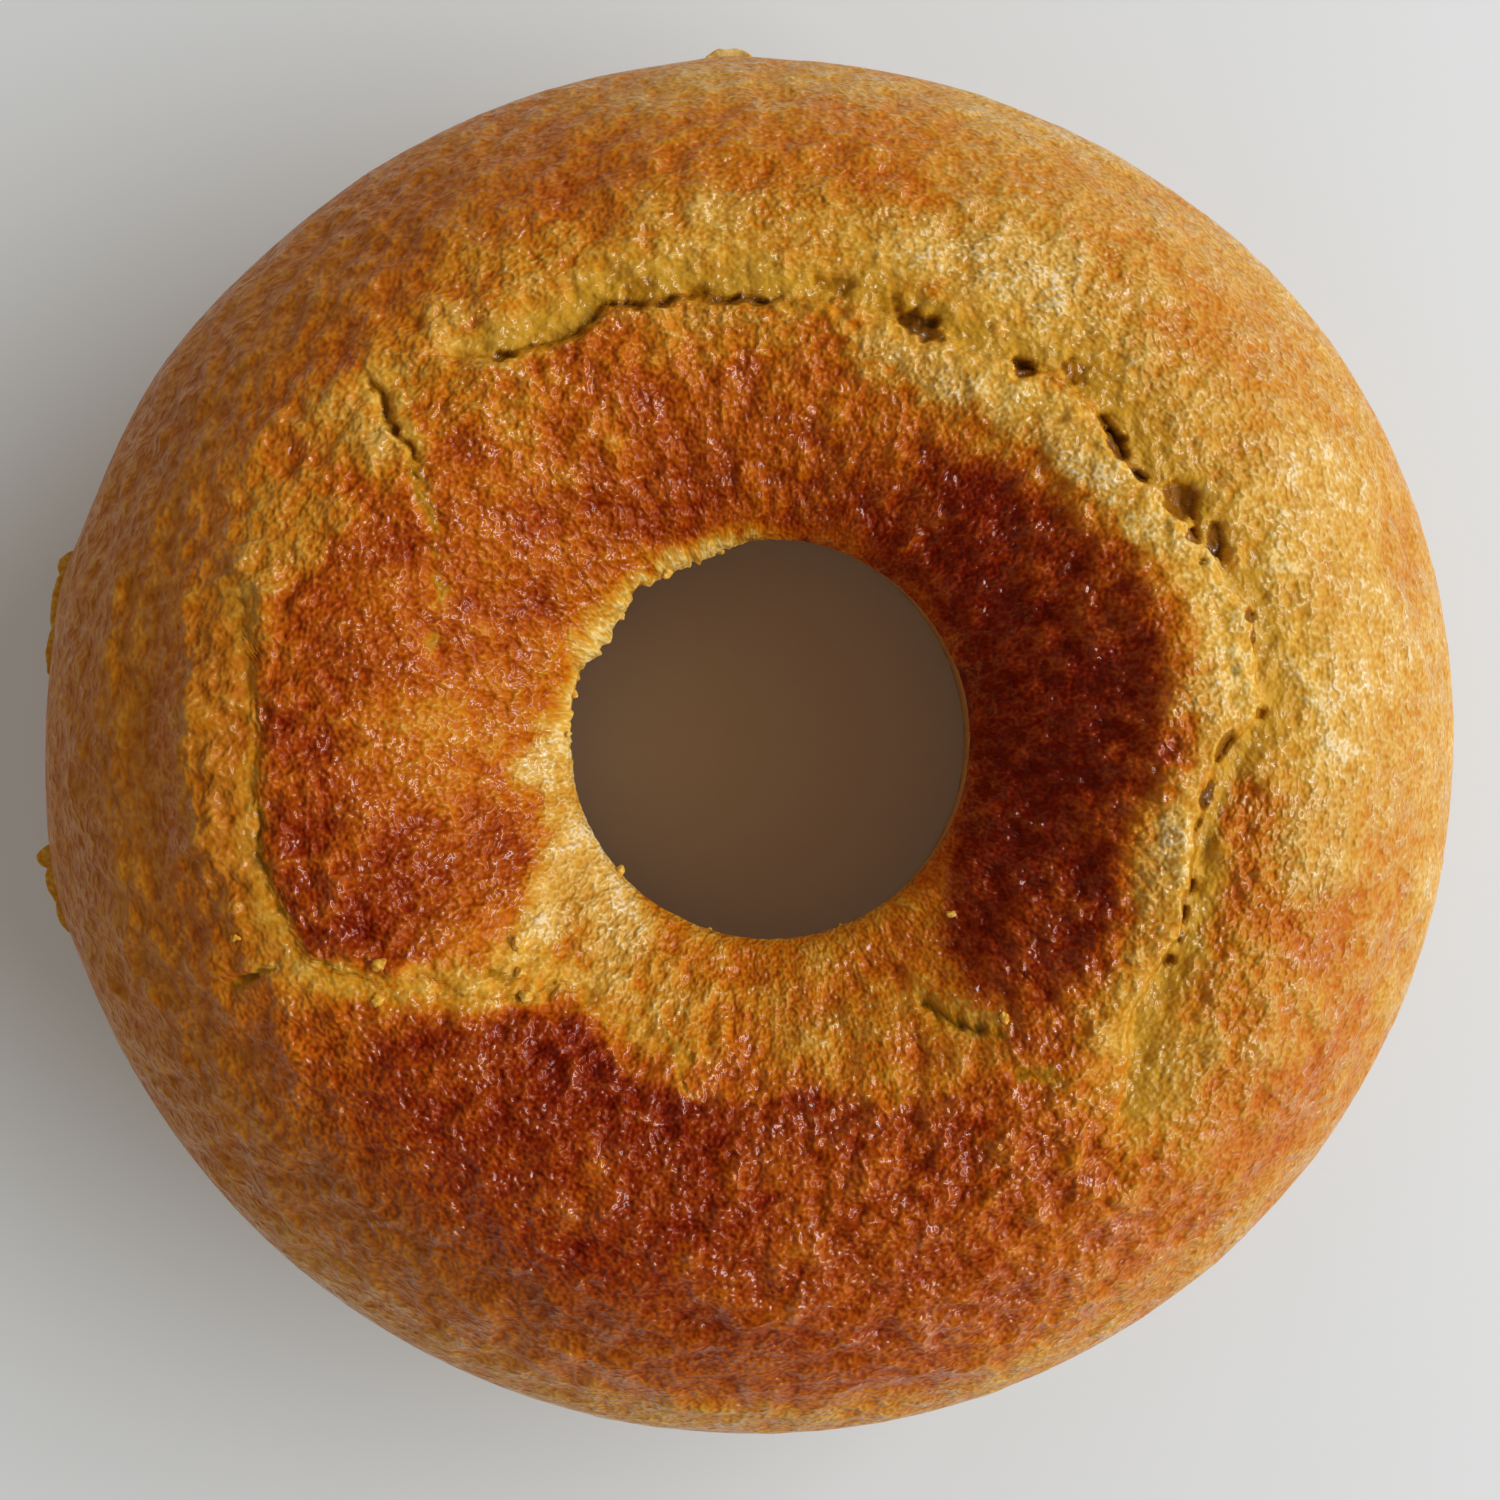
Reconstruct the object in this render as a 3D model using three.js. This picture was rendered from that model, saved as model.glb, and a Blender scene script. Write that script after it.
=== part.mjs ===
import * as THREE from "three";

// Cornmeal ring cake, baked in a plain ring tin and standing with its cracked crust up.
// Millimetres, +Z up. The origin lies on the flat base, under the middle of the outline.
// Angles are in degrees, anticlockwise from +X as seen from above, about the axis of the hole.

// Driving dimensions of the whole cake
const WIDEST_RADIUS = 117.2; // along X, where the crust rolls out over the tin's edge
const WIDEST_HEIGHT = 46;
const CROSS_WIDTH = 0.983; // width along Y as a share of the width along X
const CROWN_RADIUS = 70;
const CROWN_HEIGHT = 79.4;
const RIM_RADIUS = 32.1; // narrowest place of the hole, just under its rounded rim
const RIM_HEIGHT = 60.5;
const HOLE_BASE_RADIUS = 40.6;
const BASE_RADIUS = 96.5; // edge of the flat base
const TIN_FOOT_RADIUS = 107; // where the tin's wall runs out into its rounded foot
const TIN_FOOT_HEIGHT = 12;
const HOLE_FOOT_HEIGHT = 6;
const HOLE_SHIFT = new THREE.Vector2(0.6, 1.2); // axis of the hole from the middle of the outline

// Resolution of the faceted solid
const COLUMNS = 184;
const PROFILE_SAMPLES = 600;

// Section of the crust from the rim of the hole to the widest place, as radius and height
const CRUST_SECTION = [
  [RIM_RADIUS, RIM_HEIGHT - 3],
  [RIM_RADIUS, RIM_HEIGHT],
  [RIM_RADIUS + 1.2, RIM_HEIGHT + 2.9],
  [36.5, 66.6],
  [42, 70],
  [50, 74.2],
  [60, 78],
  [CROWN_RADIUS, CROWN_HEIGHT],
  [79.5, 78.6],
  [89, 75.6],
  [98.5, 70.3],
  [106, 64],
  [112.5, 57],
  [WIDEST_RADIUS - 1.2, WIDEST_HEIGHT + 5.2],
  [WIDEST_RADIUS, WIDEST_HEIGHT],
];

// Places where the outline swells, as angle, swelling and half width in degrees
const OUTLINE_SWELLS = [
  [35, 1.6, 22],
  [180, 1.7, 28],
  [148, 1.0, 9],
];

// Torn flakes that stand out where the crust met the tin's edge, as angle, reach and half width
const EDGE_FLAKES = [
  [93, 1.2, 3.5],
  [167, 2.4, 3],
  [191, 3.2, 5.5],
];
const FLAKE_HALF_HEIGHT = 7;

// Cracks of the crust. Each path is a list of [angle, radius], anticlockwise round the cake.
// The crevice is the dark split, the lip the raised edge of the plate on the inner side,
// and the band the paler, sunken crumb that tore open on the outer side.
const CRACKS = {
  mainRift: {
    path: [
      [-49.5, 77], [-45.5, 75], [-37, 67], [-25, 67], [-13, 64.6], [-6, 65], [-1, 67.5], [4, 72.5],
      [14, 73.2], [25, 69.8], [35, 67.6], [46, 68.2], [54, 68.2], [63, 65.2], [76, 65], [90, 65.4],
      [107, 68], [112, 69.5], [117, 67.2], [127.5, 71.6],
    ],
    depth: 5.5, halfWidth: 2, lip: 1.5, lipReach: 4.5, band: 1.8, bandWidth: 9,
  },
  leftGroove: {
    path: [[165, 80], [171, 78.9], [181, 78.2], [190, 77.6], [199, 75.8], [206, 73.5]],
    depth: 4.5, halfWidth: 2, lip: 0.8, lipReach: 4, band: 0.2, bandWidth: 4,
  },
  lowerLeftRift: {
    path: [
      [206.5, 73.2], [208.8, 70.2], [214, 65], [221, 58], [227, 50.5], [235, 48.2], [246, 49], [255, 54],
      [262, 57],
    ],
    depth: 4, halfWidth: 2.2, lip: 0.6, lipReach: 5, band: 1.0, bandWidth: 5,
  },
  lowerRightFlap: {
    path: [[293, 44.9], [301, 46.2], [304.5, 50], [307, 54]],
    depth: 3, halfWidth: 2.6, lip: 0.8, lipReach: 4, band: 0.8, bandWidth: 5,
  },
  shortCrack: {
    path: [[305.2, 60.6], [309, 64.1]],
    depth: 2, halfWidth: 2.6, lip: 0, lipReach: 3, band: 0, bandWidth: 3,
  },
  upperLeftCrack: {
    path: [[138.2, 81], [140.8, 71.4], [143.5, 66.2], [146.7, 61.2], [151, 57]],
    depth: 3, halfWidth: 2.8, lip: 1.1, lipReach: 4.5, band: 1.2, bandWidth: 6,
  },
  lowerLeftCut: {
    path: [[203.7, 90], [204, 84], [204.2, 78.9]],
    depth: 2, halfWidth: 2.6, lip: 0.3, lipReach: 3, band: 0.3, bandWidth: 3,
  },
};
const CRACK_END_TAPER = 7; // length over which a crack dies out at each end

// Burst pores along the cracks, as angle, radius, half width and depth
const PORES = [
  [125.4, 70.3, 2.6, 2.5],
  [111, 68.5, 2.6, 2],
  [98, 66, 2.4, 2],
  [70, 65.6, 3.4, 4.5],
  [56.8, 66.8, 2.4, 3],
  [45, 67.8, 3.2, 3.5],
  [31, 69.5, 3, 2.5],
  [22, 71, 3.2, 2.5],
  [4, 72.5, 2.4, 2],
  [-13, 64.6, 2.4, 2],
  [-30, 66.5, 2.2, 2],
];

// Broad swells and hollows of the crust, as angle, radius, half widths round and across, height
const SWELLS = [
  [0, 53, 24, 10, 1.6],
  [-92, 72, 30, 16, 1.2],
  [88, 52, 26, 9, 0.9],
  [176, 58, 20, 11, 0.6],
  [182, 84.5, 17, 4.2, 2.2],
  [180, 93.5, 18, 4.5, -1.6],
  [-56, 41, 16, 7, -1.6],
  [-137, 42, 12, 6, -1.2],
  [-40, 76, 6, 7, -1.4],
  [57, 93, 30, 9, 0.9],
];

// Unevenness that has no name of its own
const LUMP_HEIGHT = 0.3;
const LUMP_LENGTHS = [26, 31, 37, 45, 58];
const LUMP_TURN = 2.4; // golden angle in radians, so that no two rows of lumps line up

const toRadians = THREE.MathUtils.degToRad;
const blend = THREE.MathUtils.smoothstep;

function bell(distance, halfWidth) {
  return Math.exp(-((distance / halfWidth) ** 2));
}

function angleBetween(a, b) {
  return THREE.MathUtils.euclideanModulo(a - b + 180, 360) - 180;
}

function polar(angle, radius) {
  return new THREE.Vector2(Math.cos(toRadians(angle)), Math.sin(toRadians(angle))).multiplyScalar(radius);
}

// Height of the smooth crust at a radius, read off the curve through its section
function makeCrustHeight() {
  const stations = CRUST_SECTION.map(([radius, height]) => new THREE.Vector2(radius, height));
  const curve = new THREE.SplineCurve(stations).getPoints(PROFILE_SAMPLES);
  const samples = curve.filter((sample, i) => i > 0 && sample.x > curve[i - 1].x);
  return (radius) => {
    const after = samples.findIndex((sample) => sample.x >= radius);
    if (after < 1) {
      return after < 0 ? WIDEST_HEIGHT : samples[0].y;
    }
    const [low, high] = [samples[after - 1], samples[after]];
    return THREE.MathUtils.mapLinear(radius, low.x, high.x, low.y, high.y);
  };
}

const crustHeight = makeCrustHeight();

// How far out of round the cake is at an angle: an oval with a few swellings
function outlineStretch(angle) {
  const along = Math.cos(toRadians(angle));
  const across = Math.sin(toRadians(angle)) / CROSS_WIDTH;
  const swelling = OUTLINE_SWELLS.reduce(
    (sum, [at, reach, width]) => sum + reach * bell(angleBetween(angle, at), width),
    0,
  );
  return 1 / Math.hypot(along, across) + swelling / WIDEST_RADIUS;
}

// How far a torn flake stands out from the side of the cake
function flakeReach(angle, height) {
  const fade = bell(height - WIDEST_HEIGHT - 3, FLAKE_HALF_HEIGHT);
  return EDGE_FLAKES.reduce(
    (sum, [at, reach, width]) => sum + reach * fade * bell(angleBetween(angle, at), width),
    0,
  );
}

// Share of the way from the hole's wall to the outer wall, which the oval and the shift follow
function outwardShare(radius) {
  return THREE.MathUtils.clamp((radius - RIM_RADIUS) / (WIDEST_RADIUS - RIM_RADIUS), 0, 1);
}

// Place in plan of a point of the section, out of round and off centre as the cake is
function planPoint(angle, radius, share) {
  const stretch = THREE.MathUtils.lerp(1, outlineStretch(angle), share);
  const shift = HOLE_SHIFT.clone().multiplyScalar(1 - share);
  return polar(angle, radius * stretch).add(shift);
}

// Smooth path of a crack as points on the plan, before the cake's oval is applied
function crackPoints(crack) {
  const stations = crack.path.map(([angle, radius]) => polar(angle, radius));
  return new THREE.SplineCurve(stations).getSpacedPoints(stations.length * 4);
}

for (const crack of Object.values(CRACKS)) {
  crack.points = crackPoints(crack);
  crack.length = new THREE.SplineCurve(crack.points).getLength();
}

// Offset of a point from a crack, positive outwards, and how far along the crack it lies
function nearestOnCrack(crack, point) {
  let best = { distance: Infinity, offset: 0, along: 0 };
  let travelled = 0;
  for (let i = 1; i < crack.points.length; i += 1) {
    const start = crack.points[i - 1];
    const run = crack.points[i].clone().sub(start);
    const reach = point.clone().sub(start);
    const share = THREE.MathUtils.clamp(reach.dot(run) / run.lengthSq(), 0, 1);
    const gap = reach.clone().addScaledVector(run, -share);
    const distance = gap.length();
    if (distance < best.distance) {
      const side = run.cross(reach) > 0 ? -1 : 1;
      best = { distance, offset: side * distance, along: travelled + share * run.length() };
    }
    travelled += run.length();
  }
  return best;
}

function crackRelief(crack, point) {
  const { offset, along } = nearestOnCrack(crack, point);
  const taper = blend(along, 0, CRACK_END_TAPER) * blend(crack.length - along, 0, CRACK_END_TAPER);
  const crevice = -crack.depth * bell(offset, crack.halfWidth);
  const lip = crack.lip * bell(offset + crack.lipReach, crack.lipReach * 0.8);
  const band = -crack.band * blend(offset, -1, 1.5) * bell(offset, crack.bandWidth);
  return taper * (crevice + lip + band);
}

function poreRelief(point) {
  return PORES.reduce(
    (sum, [angle, radius, width, depth]) => sum - depth * bell(point.distanceTo(polar(angle, radius)), width),
    0,
  );
}

function swellRelief(angle, radius) {
  return SWELLS.reduce((sum, [at, middle, round, across, height]) => {
    const share = bell(angleBetween(angle, at), round) * bell(radius - middle, across);
    return sum + height * share;
  }, 0);
}

function lumpRelief(point) {
  return LUMP_LENGTHS.reduce((sum, length, i) => {
    const heading = new THREE.Vector2(Math.cos(i * LUMP_TURN), Math.sin(i * LUMP_TURN));
    return sum + LUMP_HEIGHT * Math.sin((2 * Math.PI * point.dot(heading)) / length + i);
  }, 0);
}

// Relief of the crust over its smooth section
function crustRelief(angle, radius) {
  const point = polar(angle, radius);
  const cracks = Object.values(CRACKS).reduce((sum, crack) => sum + crackRelief(crack, point), 0);
  return cracks + poreRelief(point) + swellRelief(angle, radius) + lumpRelief(point);
}

// Radius of the ring of cracks at an angle, which the rows of the solid follow
function makeRiftGuide() {
  const ring = [CRACKS.mainRift, CRACKS.leftGroove, CRACKS.lowerLeftRift];
  const stations = ring.flatMap((crack) => crack.path);
  stations.sort((a, b) => a[0] - b[0]);
  const [firstAngle, firstRadius] = stations[0];
  stations.push([firstAngle + 360, firstRadius]);
  return (angle) => {
    const turned = THREE.MathUtils.euclideanModulo(angle - firstAngle, 360) + firstAngle;
    const after = Math.max(stations.findIndex(([at]) => at >= turned), 1);
    const [fromAngle, fromRadius] = stations[after - 1];
    const [toAngle, toRadius] = stations[after];
    const share = (turned - fromAngle) / Math.max(toAngle - fromAngle, 1e-6);
    return THREE.MathUtils.lerp(fromRadius, toRadius, THREE.MathUtils.clamp(share, 0, 1));
  };
}

const riftGuide = makeRiftGuide();

// Rows of the crust. Those between the rim and the shoulder close up towards the ring of cracks.
const RIFT_ROW_OFFSETS = [-8, -4, -1.6, 0, 1.8, 4.5, 9];
const INNER_ROW_SHARES = [0.25, 0.5, 0.75];
const OUTER_ROW_SHARES = [0.25, 0.5, 0.75];
const RIM_ROW_RADII = [RIM_RADIUS + 1.2, 36.5];
const SHOULDER_ROW_RADII = [106, 110, 113.5, WIDEST_RADIUS - 1.2];
const RELIEF_FADE = 5; // width over which the relief dies out at the rim and at the shoulder

function crustRadii(angle) {
  const guide = riftGuide(angle);
  const inner = RIM_ROW_RADII[RIM_ROW_RADII.length - 1];
  const outer = SHOULDER_ROW_RADII[0];
  const riftRows = RIFT_ROW_OFFSETS.map((offset) => guide + offset * Math.min(1, (guide - inner) / 12));
  const last = riftRows[riftRows.length - 1];
  return [
    ...RIM_ROW_RADII,
    ...INNER_ROW_SHARES.map((share) => THREE.MathUtils.lerp(inner, riftRows[0], share)),
    ...riftRows,
    ...OUTER_ROW_SHARES.map((share) => THREE.MathUtils.lerp(last, outer, share)),
    ...SHOULDER_ROW_RADII,
  ];
}

// Unit normal of the smooth section, as outward and upward parts
function crustNormal(radius) {
  const step = 0.5;
  const slope = (crustHeight(radius + step) - crustHeight(radius - step)) / (2 * step);
  return new THREE.Vector2(-slope, 1).normalize();
}

function crustPoint(angle, radius) {
  const fade = blend(radius, RIM_RADIUS, RIM_RADIUS + RELIEF_FADE)
    * blend(WIDEST_RADIUS - radius, 0, RELIEF_FADE * 1.6);
  const relief = fade * crustRelief(angle, radius);
  const normal = crustNormal(radius);
  const height = crustHeight(radius) + relief * normal.y;
  const share = outwardShare(radius);
  const reach = radius + relief * normal.x + flakeReach(angle, height);
  const plan = planPoint(angle, reach, share);
  return new THREE.Vector3(plan.x, plan.y, height);
}

function wallPoint(angle, radius, height, share) {
  const plan = planPoint(angle, radius + share * flakeReach(angle, height), share);
  return new THREE.Vector3(plan.x, plan.y, height);
}

// Rounded foot between a tapered wall and the flat base
function footStations(wallRadius, wallHeight, baseRadius) {
  const stations = [];
  for (const turn of [30, 60]) {
    const radius = baseRadius + (wallRadius - baseRadius) * Math.cos(toRadians(turn));
    stations.push([radius, wallHeight * (1 - Math.sin(toRadians(turn)))]);
  }
  return stations;
}

const HOLE_FOOT_REACH = 5;
const HOLE_WALL = [
  [HOLE_BASE_RADIUS + HOLE_FOOT_REACH, 0],
  ...footStations(HOLE_BASE_RADIUS, HOLE_FOOT_HEIGHT, HOLE_BASE_RADIUS + HOLE_FOOT_REACH).reverse(),
  [HOLE_BASE_RADIUS, HOLE_FOOT_HEIGHT],
  [RIM_RADIUS, RIM_HEIGHT],
];
const TIN_WALL = [
  [WIDEST_RADIUS, WIDEST_HEIGHT],
  [WIDEST_RADIUS - 0.6, WIDEST_HEIGHT - 4.5],
  [TIN_FOOT_RADIUS, TIN_FOOT_HEIGHT],
  ...footStations(TIN_FOOT_RADIUS, TIN_FOOT_HEIGHT, BASE_RADIUS),
  [BASE_RADIUS, 0],
];

// One column of the skin: up the wall of the hole, over the crust and down the outer wall
function sectionColumn(angle) {
  return [
    ...HOLE_WALL.map(([radius, height]) => wallPoint(angle, radius, height, 0)),
    ...crustRadii(angle).map((radius) => crustPoint(angle, radius)),
    ...TIN_WALL.map(([radius, height]) => wallPoint(angle, radius, height, 1)),
  ];
}

// Columns all round, each joined to the next, and the last point of a column to its first by the base
function ringGeometry() {
  const columns = Array.from({ length: COLUMNS }, (_, i) => sectionColumn((360 * i) / COLUMNS));
  const rows = columns[0].length;
  const indices = [];
  for (let i = 0; i < COLUMNS; i += 1) {
    const next = (i + 1) % COLUMNS;
    for (let j = 0; j < rows; j += 1) {
      const up = (j + 1) % rows;
      const corners = [i * rows + j, next * rows + j, next * rows + up, i * rows + up];
      indices.push(corners[0], corners[2], corners[1], corners[0], corners[3], corners[2]);
    }
  }
  const geometry = new THREE.BufferGeometry();
  geometry.setFromPoints(columns.flat());
  geometry.setIndex(indices);
  return geometry;
}

// The outline isn't quite even, so the middle of its box is brought over the origin
function centreOverOrigin(geometry) {
  geometry.computeBoundingBox();
  const middle = geometry.boundingBox.getCenter(new THREE.Vector3());
  geometry.translate(-middle.x, -middle.y, 0);
  geometry.computeVertexNormals();
  return geometry;
}

const crust = new THREE.MeshStandardMaterial({ color: 0xb06a1c, roughness: 0.55, metalness: 0 });
const cake = new THREE.Mesh(centreOverOrigin(ringGeometry()), crust);
cake.name = "cake";

const cornmealCake = new THREE.Group();
cornmealCake.add(cake);

export default cornmealCake;
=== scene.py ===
"""Cornmeal ring cake: its browned, split crust, the torn crumb in the cracks and the studio around it.

The cake's shape is worked out in millimetres, as it is in the solid model, and written to the meshes
in metres. Angles are in degrees, anticlockwise from +X as seen from above, about the hole's axis.
"""
import logging
import math
from dataclasses import dataclass, field
from enum import Enum

import bpy
import numpy as np
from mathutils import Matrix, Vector


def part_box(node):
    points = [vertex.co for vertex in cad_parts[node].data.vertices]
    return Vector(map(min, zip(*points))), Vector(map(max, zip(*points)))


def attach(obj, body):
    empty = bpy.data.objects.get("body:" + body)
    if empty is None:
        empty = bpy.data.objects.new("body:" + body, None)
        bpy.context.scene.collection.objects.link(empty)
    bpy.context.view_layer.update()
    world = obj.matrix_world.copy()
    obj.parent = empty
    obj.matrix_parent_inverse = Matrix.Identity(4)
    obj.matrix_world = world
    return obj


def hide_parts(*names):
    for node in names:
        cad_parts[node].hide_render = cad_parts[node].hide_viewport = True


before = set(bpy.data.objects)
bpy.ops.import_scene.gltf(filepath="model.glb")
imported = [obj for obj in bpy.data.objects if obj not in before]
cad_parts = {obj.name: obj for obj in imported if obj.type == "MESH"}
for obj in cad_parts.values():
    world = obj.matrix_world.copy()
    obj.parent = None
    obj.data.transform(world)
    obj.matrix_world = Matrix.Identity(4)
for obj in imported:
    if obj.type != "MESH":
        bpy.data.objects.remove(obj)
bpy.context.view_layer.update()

LOG = logging.getLogger("cornmeal_cake")
MM = 0.001
FULL_TURN = 360.0
HALF_TURN = 180.0
CAKE_NODE = "cake"
# how far from a crack its relief can reach, in millimetres
CRACK_REACH = 24.0

Colour = tuple[float, float, float]
Stops = tuple[tuple[float, Colour], ...]
Socket = bpy.types.NodeSocket


# ---------------------------------------------------------------------------------------------------
# Small helpers for numbers
# ---------------------------------------------------------------------------------------------------


def bell(distance: np.ndarray, half_width: np.ndarray | float, power: float = 2.0) -> np.ndarray:
    """Smooth hump of height 1 at distance 0, flatter on top for a higher power."""
    return np.exp(-np.abs(distance / half_width) ** power)


def blend(value: np.ndarray, low: np.ndarray | float, high: np.ndarray | float) -> np.ndarray:
    """Smooth step from 0 at low to 1 at high."""
    share = np.clip((value - low) / (high - low), 0.0, 1.0)
    return share * share * (3.0 - 2.0 * share)


def fade(distance: np.ndarray, reach: np.ndarray, shares: tuple[float, float]) -> np.ndarray:
    """Falls from 1 to 0 between two shares of a reach."""
    return 1 - blend(distance, reach * shares[0], reach * shares[1])


def angle_between(a: np.ndarray, b: float) -> np.ndarray:
    """Signed difference of two angles in degrees, from -180 to 180."""
    return (a - b + HALF_TURN) % FULL_TURN - HALF_TURN


def polar(angle: np.ndarray, radius: np.ndarray) -> np.ndarray:
    """Points in plan, as rows of x and y, from angles in degrees and radii."""
    turn = np.radians(angle)
    return np.stack([radius * np.cos(turn), radius * np.sin(turn)], axis=-1)


def smooth_curve(stations: np.ndarray, steps: int) -> np.ndarray:
    """Runs a Catmull-Rom curve through stations.

    Args:
        stations: The points that the curve passes, one per row, in any number of columns.
        steps: How many points to give back for each stretch between two stations.

    Returns:
        The points of the curve, one per row.
    """
    padded = np.vstack([stations[:1], stations, stations[-1:]])
    share = np.linspace(0.0, 1.0, steps, endpoint=False)[:, None]
    pieces = []
    for i in range(len(stations) - 1):
        before, start, end, after = padded[i : i + 4]
        leave = (end - before) / 2
        arrive = (after - start) / 2
        cubic = 2 * start - 2 * end + leave + arrive
        square = -3 * start + 3 * end - 2 * leave - arrive
        pieces.append(((cubic * share + square) * share + leave) * share + start)
    return np.vstack([*pieces, stations[-1:]])


@dataclass(frozen=True)
class Noise:
    """Repeatable noise in space: the same seed always gives the same bumps."""

    seed: int
    side: int = 64
    # how far the lattice is moved off the origin, and how far apart the seeds of two layers are
    offset: float = 7.3
    seed_step: int = 31

    def _lattice(self, values: int) -> np.ndarray:
        """Random numbers from 0 to 1 on a cube of cells, some for each cell."""
        return np.random.default_rng(self.seed).random((self.side**3, values), dtype=np.float32)

    def _place(self, points: np.ndarray, size: float) -> np.ndarray:
        """Turns the points by a random amount, so that no cell lines up with the axes, and scales them."""
        turned, _ = np.linalg.qr(np.random.default_rng(self.seed + 1).normal(size=(3, 3)))
        return points @ turned / size + self.offset

    def _number(self, cell: np.ndarray) -> np.ndarray:
        """Place of each whole-numbered cell in the lattice."""
        x, y, z = (cell % self.side).T
        return (x * self.side + y) * self.side + z

    def smooth(self, points: np.ndarray, size: float) -> np.ndarray:
        """Rolling noise from -1 to 1 whose bumps are about size across.

        Args:
            points: x, y and z of each point, one per row.
            size: Size of the bumps.

        Returns:
            The noise at each point.
        """
        lattice = self._lattice(1)[:, 0]
        place = self._place(points, size)
        cell = np.floor(place).astype(np.int32)
        share = place - cell
        # a step whose slope and bend are both nought at its ends
        share = share * share * share * (share * (share * 6 - 15) + 10)
        total = np.zeros(len(points))
        for corner in np.ndindex(2, 2, 2):
            step = np.array(corner, dtype=np.int32)
            weight = np.prod(np.where(step == 1, share, 1 - share), axis=-1)
            total += weight * lattice[self._number(cell + step)]
        return total * 2 - 1

    def layered(self, points: np.ndarray, size: float, layers: int, gain: float) -> np.ndarray:
        """Sums layers of noise, each half the size of the last and weaker by gain.

        Args:
            points: x, y and z of each point, one per row.
            size: Size of the largest bumps.
            layers: How many layers there are.
            gain: Strength of each layer as a share of the last.

        Returns:
            The noise at each point.
        """
        total = np.zeros(len(points))
        weight = 1.0
        for layer in range(layers):
            total += weight * Noise(self.seed + self.seed_step * layer).smooth(points, size / 2**layer)
            weight *= gain
        return total

    def cells(self, points: np.ndarray, size: float) -> np.ndarray:
        """Distance to the nearest of scattered seeds, as a share of their spacing.

        Args:
            points: x, y and z of each point, one per row.
            size: Spacing of the seeds.

        Returns:
            The distance at each point.
        """
        lattice = self._lattice(3)
        place = self._place(points, size)
        cell = np.floor(place).astype(np.int32)
        nearest = np.full(len(points), np.inf)
        for corner in np.ndindex(3, 3, 3):
            around = cell + np.array(corner, dtype=np.int32) - 1
            seed = around + lattice[self._number(around)]
            nearest = np.minimum(nearest, ((place - seed) ** 2).sum(axis=-1))
        return np.sqrt(nearest)


@dataclass(frozen=True)
class Ripple:
    """Layered noise of one kind.

    It has its seed, the size of its largest bumps in millimetres, how many layers it has, how strong
    each layer is as a share of the last, and its own strength.
    """

    seed: int
    size: float
    layers: int
    gain: float
    strength: float = 1.0

    def at(self, points: np.ndarray) -> np.ndarray:
        """The noise at each point."""
        return self.strength * Noise(self.seed).layered(points, self.size, self.layers, self.gain)


# What makes the edges of cracks, pores and browned patches ragged
WANDER = (Ripple(5, 4.5, 3, 0.7), Ripple(6, 4.5, 3, 0.7))
PORE_RAGS = Ripple(7, 2.2, 2, 0.7, 0.34)
TORN_SPREAD = Ripple(8, 9.0, 3, 0.6, 0.45)
BROWNING_DRIFT = Ripple(14, 12.0, 4, 0.7, 3.0)
BROWNING_STRAY = Ripple(15, 12.0, 4, 0.7, 3.0)
BROAD_MOTTLING = Ripple(12, 14.0, 2, 0.5, 0.05)
FINE_MOTTLING = Ripple(13, 6.0, 3, 0.65, 0.09)
# The grain of the crust, of the torn crumb and of the moulded sides
LUMPS = Ripple(20, 15.0, 2, 0.6, 0.40)
SMALL_LUMPS = Ripple(29, 7.0, 2, 0.5, 0.36)
WRINKLES = Ripple(26, 3.2, 2, 0.6, 0.62)
PEBBLES = Ripple(21, 3.4, 2, 0.6, 0.42)
TORN_GRAIN = Ripple(23, 1.9, 2, 0.7, 0.24)
WALL_WAVES = Ripple(24, 22.0, 2, 0.5, 0.25)
WALL_GRAIN = Ripple(25, 4.0, 2, 0.5, 0.10)
# The torn fringe of the rim and the flakes at the side
FRINGE_RAGS = Ripple(28, 5.0, 4, 0.75, 0.55)
FLAKE_LOBES = Ripple(40, 3.2, 3, 0.5, 0.3)
FLAKE_WAVES = Ripple(41, 1.6, 2, 0.5, 0.2)


# ---------------------------------------------------------------------------------------------------
# The cake's shape
# ---------------------------------------------------------------------------------------------------


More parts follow.
